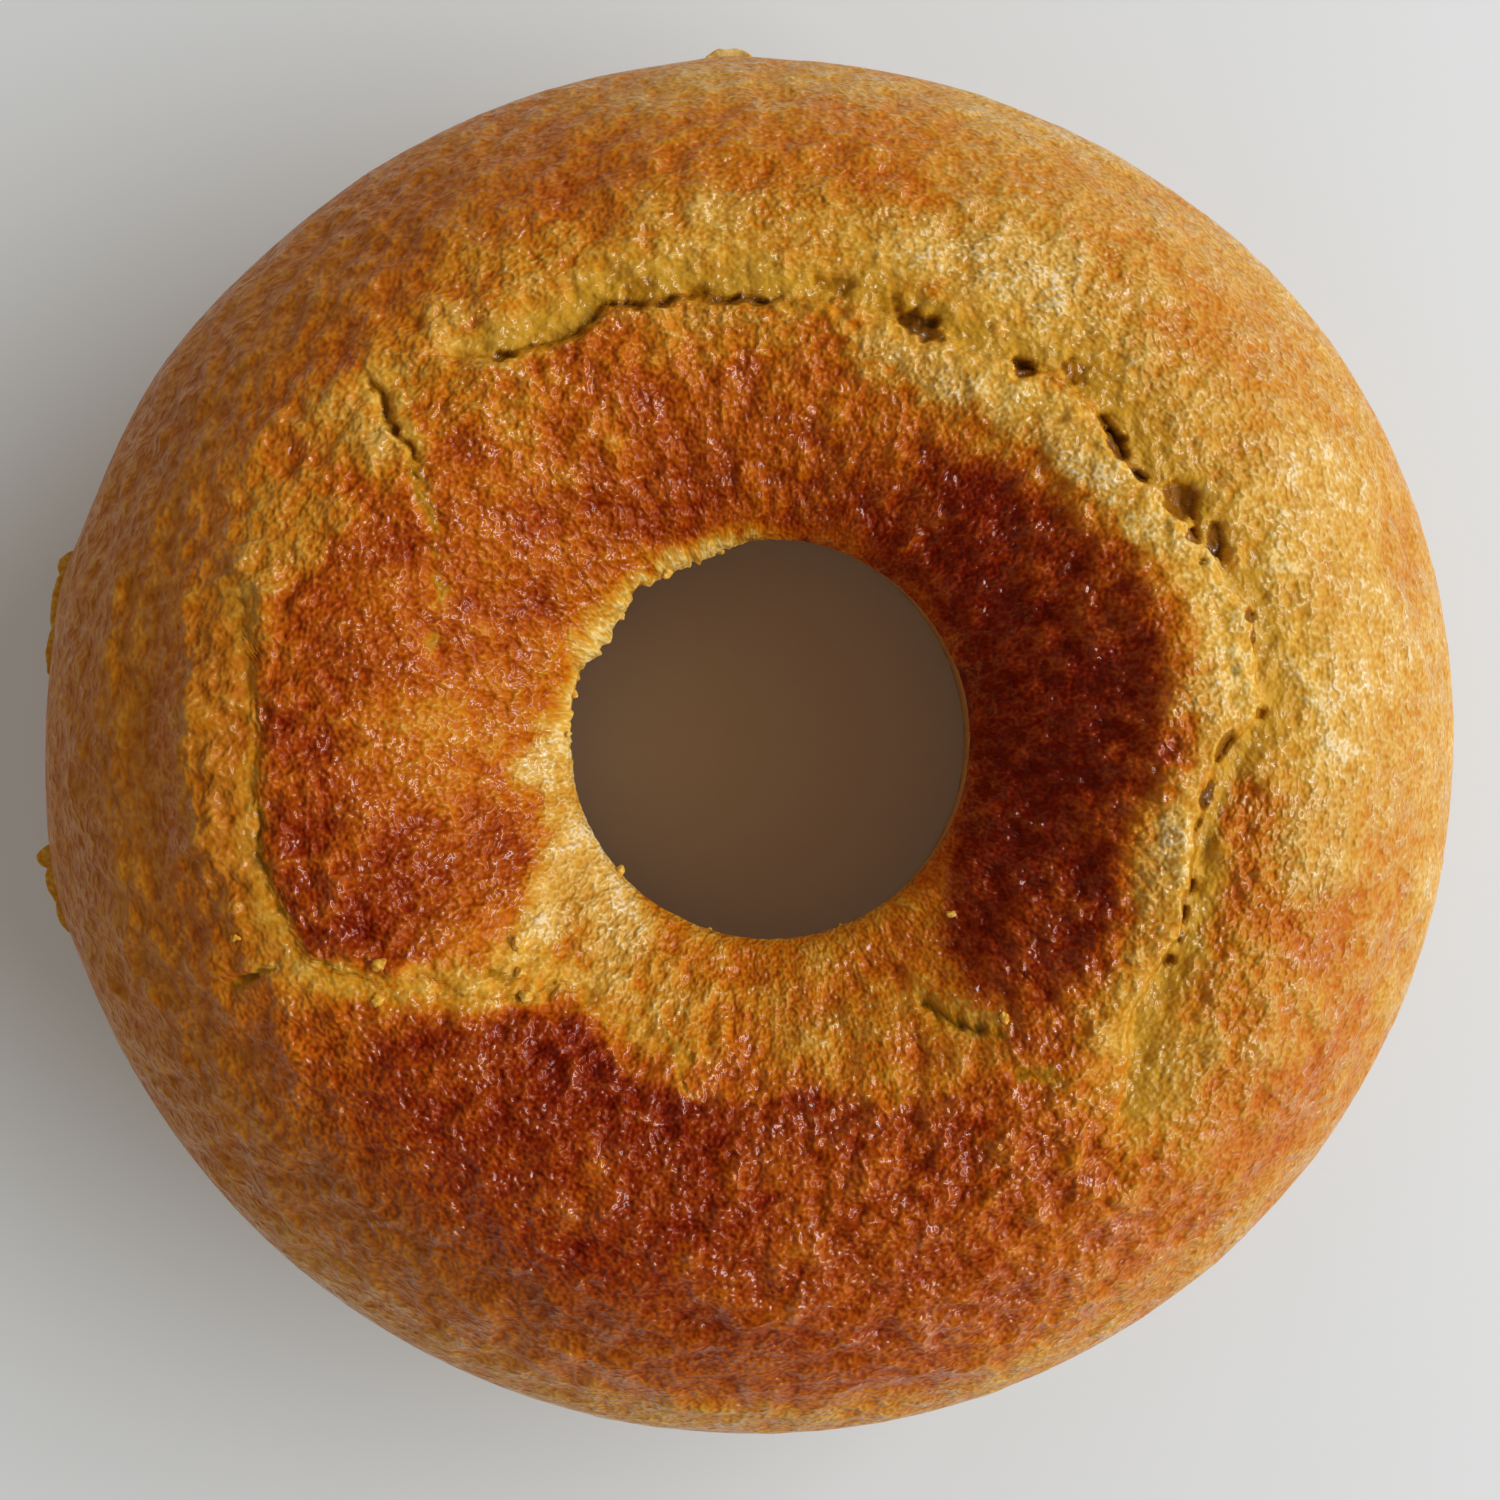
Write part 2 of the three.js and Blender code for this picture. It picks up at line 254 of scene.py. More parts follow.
@dataclass(frozen=True)
class RingSection:
    """Smooth section of the ring, and how its outline leaves the true circle, in millimetres."""

    widest_radius: float = 117.2
    widest_height: float = 46.0
    cross_width: float = 0.983
    rim_radius: float = 32.1
    rim_height: float = 60.5
    hole_base_radius: float = 40.6
    hole_foot_height: float = 6.0
    hole_foot_reach: float = 5.0
    base_radius: float = 96.5
    tin_foot_radius: float = 107.0
    tin_foot_height: float = 12.0
    hole_shift: tuple[float, float] = (0.6, 1.2)
    # radius and height of the crust between the rim and the widest place
    crust: tuple[tuple[float, float], ...] = (
        (32.1, 57.5), (32.1, 60.5), (33.3, 63.4), (36.5, 66.6), (42.0, 70.0), (50.0, 74.2), (60.0, 78.0),
        (70.0, 79.4), (79.5, 78.6), (89.0, 75.6), (98.5, 70.3), (106.0, 64.0), (112.5, 57.0),
        (116.0, 51.2), (117.2, 46.0),
    )
    # angle, reach and half width of each swelling of the outline
    swells: tuple[tuple[float, float, float], ...] = ((35, 1.6, 22), (180, 1.7, 28), (148, 1.0, 9))
    # angle, reach and half width of each torn flake at the edge of the tin
    flakes: tuple[tuple[float, float, float], ...] = ((93, 0.7, 3.5), (167, 0.9, 4), (191, 1.0, 6))
    flake_half_height: float = 7.0
    # how far above the widest place the flakes stand out most
    flake_rise: float = 3.0
    # how far the outer wall bulges between the widest place and its foot
    wall_bulge: float = 0.5
    curve_steps: int = 48
    tolerance: float = 1e-9

    def crust_curve(self) -> np.ndarray:
        """Radius and height along the crust, with the radius always growing.

        Returns:
            The radius and height of each point of the curve, one per row.
        """
        curve = smooth_curve(np.array(self.crust), self.curve_steps)
        growing = np.maximum.accumulate(curve[:, 0]) <= curve[:, 0] + self.tolerance
        return curve[growing]

    def crust_height(self, radius: np.ndarray) -> np.ndarray:
        """Height of the smooth crust at each radius."""
        curve = self.crust_curve()
        return np.interp(radius, curve[:, 0], curve[:, 1])

    def crust_normal(self, radius: np.ndarray) -> tuple[np.ndarray, np.ndarray]:
        """Outward and upward parts of the unit normal of the smooth crust.

        Args:
            radius: Radius of each point.

        Returns:
            The outward part and the upward part at each point.
        """
        step = 0.4
        slope = (self.crust_height(radius + step) - self.crust_height(radius - step)) / (2 * step)
        length = np.hypot(slope, 1.0)
        return -slope / length, 1.0 / length

    def outward_share(self, radius: np.ndarray) -> np.ndarray:
        """Share of the way from the hole's wall to the outer wall."""
        return np.clip((radius - self.rim_radius) / (self.widest_radius - self.rim_radius), 0.0, 1.0)

    def flake_reach(self, angle: np.ndarray, height: np.ndarray) -> np.ndarray:
        """How far torn flakes stand out from the side of the cake."""
        level = bell(height - self.widest_height - self.flake_rise, self.flake_half_height)
        return sum(reach * level * bell(angle_between(angle, at), width) for at, reach, width in self.flakes)

    def plan(self, angle: np.ndarray, radius: np.ndarray, share: np.ndarray) -> np.ndarray:
        """Places points of the section in plan, out of round and off centre as the cake is.

        Args:
            angle: Angle of each point.
            radius: Radius of each point along the section.
            share: How far each point follows the outer outline, from 0 at the hole to 1 at the side.

        Returns:
            x and y of each point, one per row.
        """
        turn = np.radians(angle)
        oval = 1.0 / np.hypot(np.cos(turn), np.sin(turn) / self.cross_width)
        swelling = sum(reach * bell(angle_between(angle, at), width) for at, reach, width in self.swells)
        stretch = 1.0 + share * (oval + swelling / self.widest_radius - 1.0)
        return polar(angle, radius * stretch) + (1.0 - share)[:, None] * np.array(self.hole_shift)


@dataclass(frozen=True)
class Crack:
    """A split in the crust: a crevice darkened with painted shade, a raised lip inside it and torn crumb
    outside it.

    Each station is the angle and radius it passes, how wide it gapes there as a share of half_width,
    how far the torn crumb reaches outwards and how far it reaches inwards. Every distance from the crack
    is positive outwards.
    """

    stations: tuple[tuple[float, float, float, float, float], ...]
    depth: float
    half_width: float
    lip: float
    band_drop: float
    ragged: float = 0.7
    taper: float = 5.0
    trough: float = 0.0
    path_steps: int = 5
    # width of the crevice where it is shut and what a full gape adds, as shares of half_width
    shut_width: float = 0.7
    gape_width: float = 0.8
    fullest_gape: float = 1.2
    steepness: float = 2.5
    lip_width: float = 2.2
    # distances at which the torn crumb starts and is full
    torn_edge: tuple[float, float] = (-0.5, 0.9)
    # where the torn crumb starts to fade and where it ends, as shares of its reach
    fade_outwards: tuple[float, float] = (0.35, 1.25)
    fade_inwards: tuple[float, float] = (0.3, 1.3)
    # half width of the sunken band, as a share of the outer reach and a margin
    band_width: tuple[float, float] = (0.6, 0.5)
    trough_middle: float = 2.5
    trough_width: float = 3.5

    def path(self) -> np.ndarray:
        """Fine points of the crack: x, y, gape, outer reach and inner reach, one per row.

        Returns:
            The points, in order along the crack.
        """
        raw = np.array(self.stations, dtype=float)
        plan = polar(raw[:, 0], raw[:, 1])
        return smooth_curve(np.hstack([plan, raw[:, 2:]]), self.path_steps)


@dataclass(frozen=True)
class CrackReading:
    """What the points of the crust find at their nearest place on a crack."""

    offset: np.ndarray
    along: np.ndarray
    length: float
    gape: np.ndarray
    outer: np.ndarray
    inner: np.ndarray


def read_crack(crack: Crack, points: np.ndarray) -> CrackReading:
    """Finds the nearest place on a crack for every point.

    Args:
        crack: The crack, which runs anticlockwise so that its right side is the outer side.
        points: x and y of each point, one per row.

    Returns:
        The signed offset, positive outwards, and the crack's own measures at that place.
    """
    path = crack.path()
    start, run = path[:-1, :2], np.diff(path[:, :2], axis=0)
    lengths = np.hypot(run[:, 0], run[:, 1])
    travelled = np.concatenate([[0.0], np.cumsum(lengths)])
    low, high = path[:, :2].min(axis=0) - CRACK_REACH, path[:, :2].max(axis=0) + CRACK_REACH
    near = np.flatnonzero(np.all((points > low) & (points < high), axis=1))
    offset, along = np.zeros((2, len(near)))
    measures = np.zeros((len(near), path.shape[1] - 2))
    nearest = np.full(len(near), np.inf)
    for i in range(len(start)):
        reach = points[near] - start[i]
        share = np.clip(reach @ run[i] / (lengths[i] ** 2), 0.0, 1.0)
        gap = reach - share[:, None] * run[i]
        distance = np.hypot(gap[:, 0], gap[:, 1])
        closer = distance < nearest
        nearest = np.where(closer, distance, nearest)
        side = np.where(run[i, 0] * reach[:, 1] - run[i, 1] * reach[:, 0] > 0, -1.0, 1.0)
        offset = np.where(closer, side * distance, offset)
        along = np.where(closer, travelled[i] + share * lengths[i], along)
        here = path[i, 2:] + share[:, None] * (path[i + 1, 2:] - path[i, 2:])
        measures = np.where(closer[:, None], here, measures)
    everywhere = np.zeros((len(points), path.shape[1]))
    everywhere[:, 0] = 2 * CRACK_REACH
    everywhere[near] = np.column_stack([offset, along, measures])
    offset, along, gape, outer, inner = everywhere.T
    return CrackReading(offset, along, travelled[-1], gape, outer, inner)


@dataclass(frozen=True)
class Patch:
    """A region of the crust, centred at an angle and a radius.

    It has a half width in degrees and one in millimetres, an amount, and a power that is higher the
    flatter its top is.
    """

    angle: float
    radius: float
    turn: float
    reach: float
    amount: float
    power: float = 2.0

    def weight(self, angle: np.ndarray, radius: np.ndarray) -> np.ndarray:
        """Share of the patch at each point, 1 at its middle."""
        around = bell(angle_between(angle, self.angle), self.turn, self.power)
        return around * bell(radius - self.radius, self.reach, self.power)

    def value(self, angle: np.ndarray, radius: np.ndarray) -> np.ndarray:
        """Amount that the patch adds at each point."""
        return self.amount * self.weight(angle, radius)


@dataclass(frozen=True)
class Flank:
    """The crust outwards of a radius: where it starts, where it is full and its amount.

    It goes all round the cake, unless it has the angle of its middle and a half width.
    """

    start: float
    full: float
    amount: float
    angle: float = 0.0
    turn: float = math.inf
    power: float = 4.0

    def value(self, angle: np.ndarray, radius: np.ndarray) -> np.ndarray:
        """Amount of the flank at each point."""
        around = bell(angle_between(angle, self.angle), self.turn, self.power)
        return self.amount * (around * blend(radius, self.start, self.full))


# Cracks, each station: angle, radius, gape, reach of the torn crumb outwards and inwards
MAIN_RIFT = Crack(
    stations=(
        (-49.6, 77.3, 0.2, 5, 1), (-45.8, 75.6, 0.3, 8, 2), (-41.9, 71.2, 0.3, 11, 3),
        (-37.3, 67.1, 0.4, 12, 5), (-30.2, 66.6, 0.5, 10, 5), (-25.7, 67.2, 0.5, 8, 5),
        (-20.0, 65.6, 0.6, 8, 5), (-13.4, 64.7, 0.5, 7, 4), (-6.7, 65.1, 0.6, 8, 4),
        (-0.3, 67.6, 0.4, 12, 5), (4.0, 72.0, 0.3, 15, 9), (10.5, 72.9, 0.5, 16, 10),
        (14.6, 73.4, 0.4, 16, 10), (19.2, 71.5, 0.2, 15, 9), (24.4, 69.8, 0.2, 15, 8),
        (30.9, 69.4, 0.2, 14, 8), (35.4, 67.4, 0.5, 14, 7), (39.8, 67.3, 0.8, 14, 6),
        (45.6, 68.3, 0.3, 13, 7), (52.5, 68.6, 0.1, 13, 8), (56.8, 66.8, 0.2, 12, 7),
        (63.4, 65.3, 0.1, 12, 5), (70.0, 65.7, 0.3, 12, 4), (76.0, 65.4, 0.1, 12, 4),
        (80.5, 65.3, 0.1, 13, 3), (85.8, 65.3, 0.2, 12, 2), (90.4, 65.4, 0.8, 12, 2),
        (94.2, 65.9, 1.0, 12, 2), (98.1, 66.4, 0.9, 12, 2), (102.4, 67.3, 0.8, 11, 1.5),
        (107.4, 68.5, 0.9, 11, 1), (111.3, 70.0, 0.9, 9, 1), (112.8, 68.1, 0.8, 10, 1),
        (117.0, 67.2, 0.8, 10, 1.5), (122.1, 68.5, 0.6, 10, 2), (125.4, 69.9, 0.5, 9, 2),
        (127.5, 71.8, 0.3, 8, 2), (132.0, 76.0, 0.0, 6, 1),
    ),
    depth=1.1, half_width=0.58, lip=0.4, band_drop=1.9, trough=0.9,
)
LEFT_GROOVE = Crack(
    stations=(
        (165.7, 86.5, 0.2, 2, 1), (165.0, 80.0, 0.4, 4, 2), (170.5, 76.4, 0.1, 3, 0.5),
        (175.8, 75.0, 0.1, 3, 0.5), (-178.8, 74.8, 0.1, 3, 0.5), (-173.4, 75.2, 0.3, 3, 0.5),
        (-170.5, 75.9, 0.6, 3, 0.5), (-169.1, 76.4, 0.4, 3, 0.5), (-165.8, 76.6, 0.5, 3, 0.5),
        (-161.2, 75.5, 0.3, 4, 0.5), (-155.0, 74.6, 0.2, 5, 1), (-151.4, 70.4, 0.4, 6, 2),
        (-147.5, 66.5, 0.2, 5, 3), (-146.2, 62.3, 0.3, 5, 3), (-142.1, 59.0, 0.2, 5, 4),
        (-137.5, 55.5, 0.3, 4, 5), (-133.5, 52.5, 0.4, 3, 4), (-131.8, 49.5, 0.4, 2, 4),
        (-127.5, 46.8, 0.3, 1, 2), (-123.5, 48.6, 0.3, 1, 2), (-118.5, 49.1, 0.2, 1, 2),
        (-111.0, 49.4, 0.2, 1, 1.5), (-107.0, 50.2, 0.2, 1, 1.5), (-105.6, 54.4, 0.2, 0.5, 1),
        (-99.3, 56.5, 0.0, 0.5, 0.5),
    ),
    depth=1.0, half_width=0.42, lip=0.5, band_drop=0.3,
)
UPPER_LEFT_CRACK = Crack(
    stations=(
        (137.6, 83.5, 0.1, 1.5, 4), (138.5, 79.5, 0.5, 1.5, 5), (139.2, 75.9, 0.6, 1.5, 5),
        (140.5, 71.5, 0.8, 1, 4), (141.3, 68.5, 0.7, 1, 3), (143.5, 66.2, 0.6, 1, 1.5),
        (146.7, 61.2, 0.5, 1, 0.8), (150.3, 57.8, 0.4, 1, 0.5), (156.5, 54.8, 0.2, 1, 0.5),
        (163.6, 52.4, 0.3, 1, 0.5), (169.0, 51.8, 0.1, 0.5, 0.5),
    ),
    depth=1.2, half_width=0.40, lip=0.4, band_drop=0.2,
)
LOWER_LEFT_CUT = Crack(
    stations=((-156.3, 90.0, 0.3, 1, 1), (-156.0, 84.1, 0.6, 1, 1), (-155.8, 78.9, 0.2, 1, 1)),
    depth=1.4, half_width=0.40, lip=0.2, band_drop=0.1, taper=2.0,
)
LOWER_RIGHT_FLAP = Crack(
    stations=(
        (-67.0, 44.9, 0.3, 1, 3), (-61.5, 45.5, 0.5, 1, 4), (-58.9, 47.0, 0.7, 1.5, 4),
        (-55.8, 52.0, 0.8, 2, 4), (-52.8, 54.5, 0.8, 2, 3), (-52.0, 58.0, 0.2, 1, 1),
    ),
    depth=1.7, half_width=0.45, lip=0.4, band_drop=0.4, taper=3.0,
)
SHORT_CRACK = Crack(
    stations=(
        (-56.0, 60.0, 0.4, 0.5, 0.5), (-53.6, 61.6, 0.7, 1, 1), (-50.9, 63.7, 0.7, 1, 1),
        (-49.0, 67.0, 0.2, 1, 1),
    ),
    depth=1.4, half_width=0.40, lip=0.2, band_drop=0.1, taper=2.0,
)
CRACKS = (MAIN_RIFT, LEFT_GROOVE, UPPER_LEFT_CRACK, LOWER_LEFT_CUT, LOWER_RIGHT_FLAP, SHORT_CRACK)
GUIDE_CRACKS = (MAIN_RIFT, LEFT_GROOVE)


def reach_from(flat: np.ndarray, angle: float, radius: float) -> np.ndarray:
    """How far each point in plan lies from a place given by angle and radius, as rows of x and y."""
    return flat - polar(np.array([angle]), np.array([radius]))[0]


@dataclass(frozen=True)
class Pore:
    """A bubble that burst in the torn crumb, an oval hollow with ragged sides.

    It has the angle and radius of its middle, its half length and half breadth, the direction of its
    length in plan and its depth.
    """

    angle: float
    radius: float
    length: float
    breadth: float
    turn: float
    depth: float
    wander: float = 0.25
    # distances from the middle at which the wall is at its foot and at its top, as shares of the half size
    wall: tuple[float, float] = (0.80, 1.12)
    depth_share: float = 0.65
    # depth from which the painted shade in the pore is darkest
    full_shade_depth: float = 2.0
    torn_share: float = 0.8

    def hollow(self, flat: np.ndarray, ragged: np.ndarray) -> np.ndarray:
        """Share of the pore's depth at each point, from 0 outside it to 1 on its floor.

        Args:
            flat: x and y of each point, one per row.
            ragged: How far the pore's edge strays at each point.

        Returns:
            The share at each point.
        """
        reach = reach_from(flat, self.angle, self.radius)
        turn = math.radians(self.turn)
        along = reach @ np.array([math.cos(turn), math.sin(turn)])
        across = reach @ np.array([-math.sin(turn), math.cos(turn)])
        distance = np.hypot(along / self.length, across / self.breadth)
        return 1.0 - blend(distance + ragged, *self.wall)


# Burst pores along the main rift from its left end, then along the cracks on the left and below the hole
PORES = tuple(Pore(*row) for row in (
    (124.7, 69.5, 1.8, 1.15, 5, 1.6), (127.2, 71.7, 0.8, 0.35, 0, 0.6), (122.1, 68.5, 1.1, 0.6, 20, 0.9),
    (115.9, 66.9, 1.5, 0.85, 25, 1.4), (113.0, 68.1, 1.3, 0.45, 60, 1.0),
    (111.5, 69.7, 1.2, 0.6, 70, 1.1), (109.0, 68.8, 2.6, 0.75, 0, 1.5), (107.1, 70.5, 2.8, 1.8, 15, 0.8),
    (104.2, 67.2, 2.3, 0.95, 15, 1.7), (101.3, 72.0, 1.6, 1.1, 0, 0.5), (99.8, 67.6, 1.9, 1.3, 20, 0.8),
    (94.6, 65.8, 3.9, 0.85, -3, 1.7), (83.9, 68.4, 1.2, 1.5, 0, 0.5), (81.8, 69.0, 3.2, 1.4, -5, 0.9),
    (75.2, 67.6, 2.4, 1.7, -20, 0.8), (70.2, 65.9, 3.6, 2.2, -35, 2.0), (56.6, 67.0, 2.1, 1.7, -20, 2.2),
    (51.1, 71.1, 2.8, 1.8, -20, 1.0), (43.9, 68.4, 1.5, 0.95, -60, 1.8), (40.6, 67.5, 2.9, 1.5, -58, 2.5),
    (36.2, 67.2, 2.0, 1.1, -50, 2.2), (31.2, 70.4, 3.2, 3.0, 0, 1.7), (26.1, 69.4, 1.5, 1.3, 0, 1.7),
    (24.8, 72.8, 2.9, 1.6, 80, 1.8), (22.7, 68.6, 0.6, 0.5, 0, 0.8), (14.7, 73.5, 1.3, 1.1, -30, 1.8),
    (12.0, 73.1, 2.2, 0.4, -85, 1.2), (3.4, 73.0, 1.2, 1.1, 0, 1.2), (-0.7, 67.0, 2.4, 1.2, 70, 1.6),
    (-7.0, 64.9, 2.1, 0.9, 65, 2.1), (-11.2, 64.3, 1.4, 0.55, 75, 1.5), (-13.4, 68.6, 2.0, 1.6, 0, 0.6),
    (-19.2, 66.1, 1.5, 0.55, 75, 1.4), (-22.4, 66.5, 1.9, 0.5, 75, 1.5),
    (-25.7, 67.4, 1.3, 0.55, 75, 1.3), (-29.0, 67.4, 1.5, 1.2, 30, 1.4), (-44.7, 74.2, 1.7, 0.4, 85, 0.9),
    (-56.0, 52.2, 5.0, 0.65, -8, 0.9), (-59.3, 46.7, 1.7, 0.5, 5, 0.7), (-50.9, 63.7, 2.2, 0.65, -3, 0.8),
    (138.6, 79.0, 1.2, 0.6, -60, 1.0), (139.2, 75.9, 2.0, 0.45, -65, 1.0),
    (140.5, 71.5, 1.0, 0.85, 0, 1.4), (141.3, 68.5, 2.2, 0.4, -70, 0.9), (162.9, 52.8, 1.5, 0.9, 80, 0.9),
    (150.9, 54.7, 1.5, 0.7, 80, 0.9), (155.6, 53.6, 1.3, 0.6, 75, 0.8),
    (-161.2, 75.9, 0.8, 0.55, -40, 0.8), (-156.1, 85.6, 2.5, 0.55, 12, 0.8),
    (-154.0, 72.8, 1.5, 0.55, -15, 0.8), (-166.8, 76.5, 2.3, 0.5, -75, 0.9),
    (-171.3, 75.7, 2.3, 0.5, 85, 0.9), (-139.6, 54.2, 2.2, 0.7, -30, 0.8),
    (-132.0, 50.2, 1.6, 0.7, 70, 0.8),
))


@dataclass(frozen=True)
class Bead:
    """A bubble of crumb that didn't burst, with the angle and radius of its middle and its half width."""

    angle: float
    radius: float
    half_width: float
    wander: float = 0.12
    rise: float = 0.75

    def dome(self, flat: np.ndarray) -> np.ndarray:
        """Share of the bead's height at each point, from 0 outside it to 1 on its top."""
        distance = np.hypot(*reach_from(flat, self.angle, self.radius).T) / self.half_width
        return np.sqrt(np.clip(1.0 - distance**2, 0.0, 1.0))


BEADS = tuple(Bead(*row) for row in (
    (21.7, 74.1, 1.9), (52.2, 69.0, 1.4), (-13.4, 68.6, 1.8), (79.5, 64.8, 1.5), (81.6, 66.3, 1.1),
    (82.8, 64.2, 0.9), (28.5, 67.2, 1.1), (47.5, 65.6, 1.2), (8.5, 70.0, 1.0), (61.5, 70.2, 1.2),
))

# Broad swells and hollows of the crust, with their height
SWELLS = tuple(Patch(*row) for row in (
    (0, 53, 24, 10, 1.6), (-92, 72, 30, 16, 1.2), (88, 52, 26, 9, 0.9), (176, 58, 20, 11, 0.6),
    (182, 83.5, 17, 4.8, 1.6), (180, 93.5, 18, 4.5, -1.1), (-56, 41, 16, 7, -1.6),
    (-137, 42, 12, 6, -1.2), (-40, 76, 6, 7, -1.4), (57, 93, 30, 9, 0.9), (14, 62.0, 52, 5.5, 1.4, 3),
))

# Shallow creases in the brown crust below the hole
CREASES = tuple(Patch(*row) for row in (
    (-112.5, 67.5, 1.3, 6.0, -0.8), (-91.5, 72.5, 0.8, 4.0, -0.7), (-71.0, 64.5, 2.5, 3.2, -0.9),
    (-101.0, 60.0, 1.6, 5.0, -0.5), (-122.0, 72.0, 1.5, 4.0, -0.5), (-82.0, 78.0, 2.2, 1.2, -0.5),
))


@dataclass(frozen=True)
class Plate:
    """A stretch of crust with clear edges.

    Each station is an angle, the radius of the inner edge and of the outer edge there, and how brown the
    crust is at the inner edge. The crust gets paler by fade for each millimetre outwards.
    """

    stations: tuple[tuple[float, float, float, float], ...]
    fade: float = 0.0
    soft_inside: float = 1.6
    soft_outside: float = 1.2
    ends: float = 5.0

    def paint(self, browning: np.ndarray, angle: np.ndarray, radius: np.ndarray) -> np.ndarray:
        """Gives the browning with this plate laid over it.

        Args:
            browning: How brown the crust is without the plate.
            angle: Angle of each point.
            radius: Radius of each point along the smooth section.

        Returns:
            How brown the crust is with the plate.
        """
        table = np.array(self.stations)
        start, span = table[0, 0], table[-1, 0] - table[0, 0]
        turn = (angle - start) % FULL_TURN
        inner, outer, amount = (np.interp(turn, table[:, 0] - start, column) for column in table[:, 1:].T)
        along = blend(turn, 0.0, self.ends) * blend(span - turn, 0.0, self.ends)
        across = blend(radius - inner, -self.soft_inside, self.soft_inside)
        across = across * blend(outer - radius, -self.soft_outside, self.soft_outside)
        amount = amount - self.fade * np.maximum(radius - inner, 0.0)
        return browning + (amount - browning) * along * across


# How brown the crust is: 0 is pale crumb and 1 the darkest maroon
BROWNING_BASE = 0.50
BROWNING = tuple(Patch(*row) for row in (
    # the flanks, from the right round to the left
    (38, 100, 78, 22, 0.24, 6), (-42, 98, 22, 22, 0.42, 4), (97, 92, 24, 10, 0.42, 4),
    (140, 97, 30, 14, 0.54, 4), (-165, 96, 24, 10, 0.54, 4), (-110, 96, 50, 14, 0.56, 4),
    # paler towards the widest place
    (-90, 114, 62, 9, 0.30, 4), (30, 114, 74, 9, 0.21, 4), (160, 115, 54, 8, 0.46, 4),
    # between the plates, the ridge on the left, darkened partly as painted shade, and the pale gap at the
    # lower left
    (-174, 82, 20, 6.5, 0.52, 4), (157, 86, 10, 6, 0.46, 4), (150, 78, 16, 9, 0.34, 4),
    (-146, 44, 8, 12, 0.14, 4), (-143, 62, 6, 8, 0.44, 4), (-157, 80, 9, 4, 0.40, 4),
    # the slope below the hole
    (-98, 42, 34, 7, 0.31, 4), (-128, 42, 9, 8, 0.22, 4), (-56, 46, 12, 10, 0.42, 4),
))
UPPER_PLATE = Plate(
    stations=(
        (-54, 42, 60, 0.82), (-45, 38, 61, 0.90), (-35, 34, 61, 1.00), (-25, 33, 59, 1.02),
        (-15, 32, 58.5, 1.00), (-5, 31, 60.5, 1.02), (5, 31, 62.5, 1.06), (15, 30, 62.5, 1.06),
        (25, 30, 61, 1.04), (35, 30, 58.5, 1.04), (45, 30, 57.5, 1.03), (55, 30, 57.0, 0.96),
        (66, 30, 54, 0.84), (78, 31, 57, 0.80), (95, 32, 58.5, 0.80), (106, 33, 59, 0.79),
        (112, 34, 62, 0.79), (118, 35, 66, 0.78), (126, 37, 64, 0.72), (134, 38, 67, 0.62),
    ),
    fade=0.0095,
)
LEFT_PLATE = Plate(
    stations=(
        (128, 37, 66, 0.58), (140, 37, 67, 0.52), (150, 38, 68, 0.51), (158, 38, 70, 0.49),
        (165, 39, 76, 0.52), (172, 40, 74.5, 0.50), (180, 42, 73, 0.53), (187, 43, 73.5, 0.54),
        (195, 44, 75.5, 0.58), (200, 43, 75, 0.62), (205, 42, 73, 0.64), (211, 44, 66, 0.60),
        (218, 47, 57, 0.54),
    ),
    fade=-0.0045, soft_inside=2.5,
)
LOWER_PLATE = Plate(
    stations=(
        (-152, 68, 98, 0.64), (-143, 62, 99, 0.69), (-136, 55.5, 100, 0.79), (-125, 51, 100, 0.85),
        (-115, 53.5, 100, 0.84), (-105, 55.5, 98, 0.81), (-95, 55.5, 98, 0.77), (-85, 53.5, 98, 0.76),
        (-77, 55, 97, 0.72), (-70, 58, 96, 0.68), (-62, 60, 96, 0.65), (-54, 60, 98, 0.60),
        (-44, 82, 98, 0.53),
    ),
    fade=0.0025, soft_inside=1.4, soft_outside=9.0,
)
# the pale raised lip inside the main rift, and the crust's orange edge beside it
ORANGE_EDGE = Plate(
    stations=(
        (-50, 58, 68, 0.55), (-36, 58.5, 68, 0.50), (-25, 56.5, 68, 0.45), (-15, 56, 68, 0.42),
        (-5, 58, 68, 0.45), (8, 60, 70, 0.48), (25, 58.5, 70, 0.50), (40, 55.5, 68, 0.42),
        (60, 53, 66, 0.36), (85, 57, 67, 0.40), (106, 57, 67, 0.40),
    ),
    soft_inside=2.2,
)
PALE_LIP = Plate(
    stations=(
        (-46, 62, 72, 0.30), (-36, 62, 70, 0.26), (-27, 59.5, 68, 0.20), (-15, 59, 67, 0.16),
        (-5, 62, 68, 0.20), (5, 64, 72, 0.22), (15, 64, 74, 0.21), (30, 61.5, 70, 0.13),
        (45, 59, 68, 0.13), (55, 58, 67, 0.14), (66, 56, 66, 0.10), (75, 59.5, 67, 0.22),
        (84, 61, 66, 0.30), (95, 61.5, 66, 0.32), (108, 61, 67, 0.32),
    ),
    soft_inside=1.0,
)
PLATES = (LOWER_PLATE, LEFT_PLATE, UPPER_PLATE, ORANGE_EDGE, PALE_LIP)
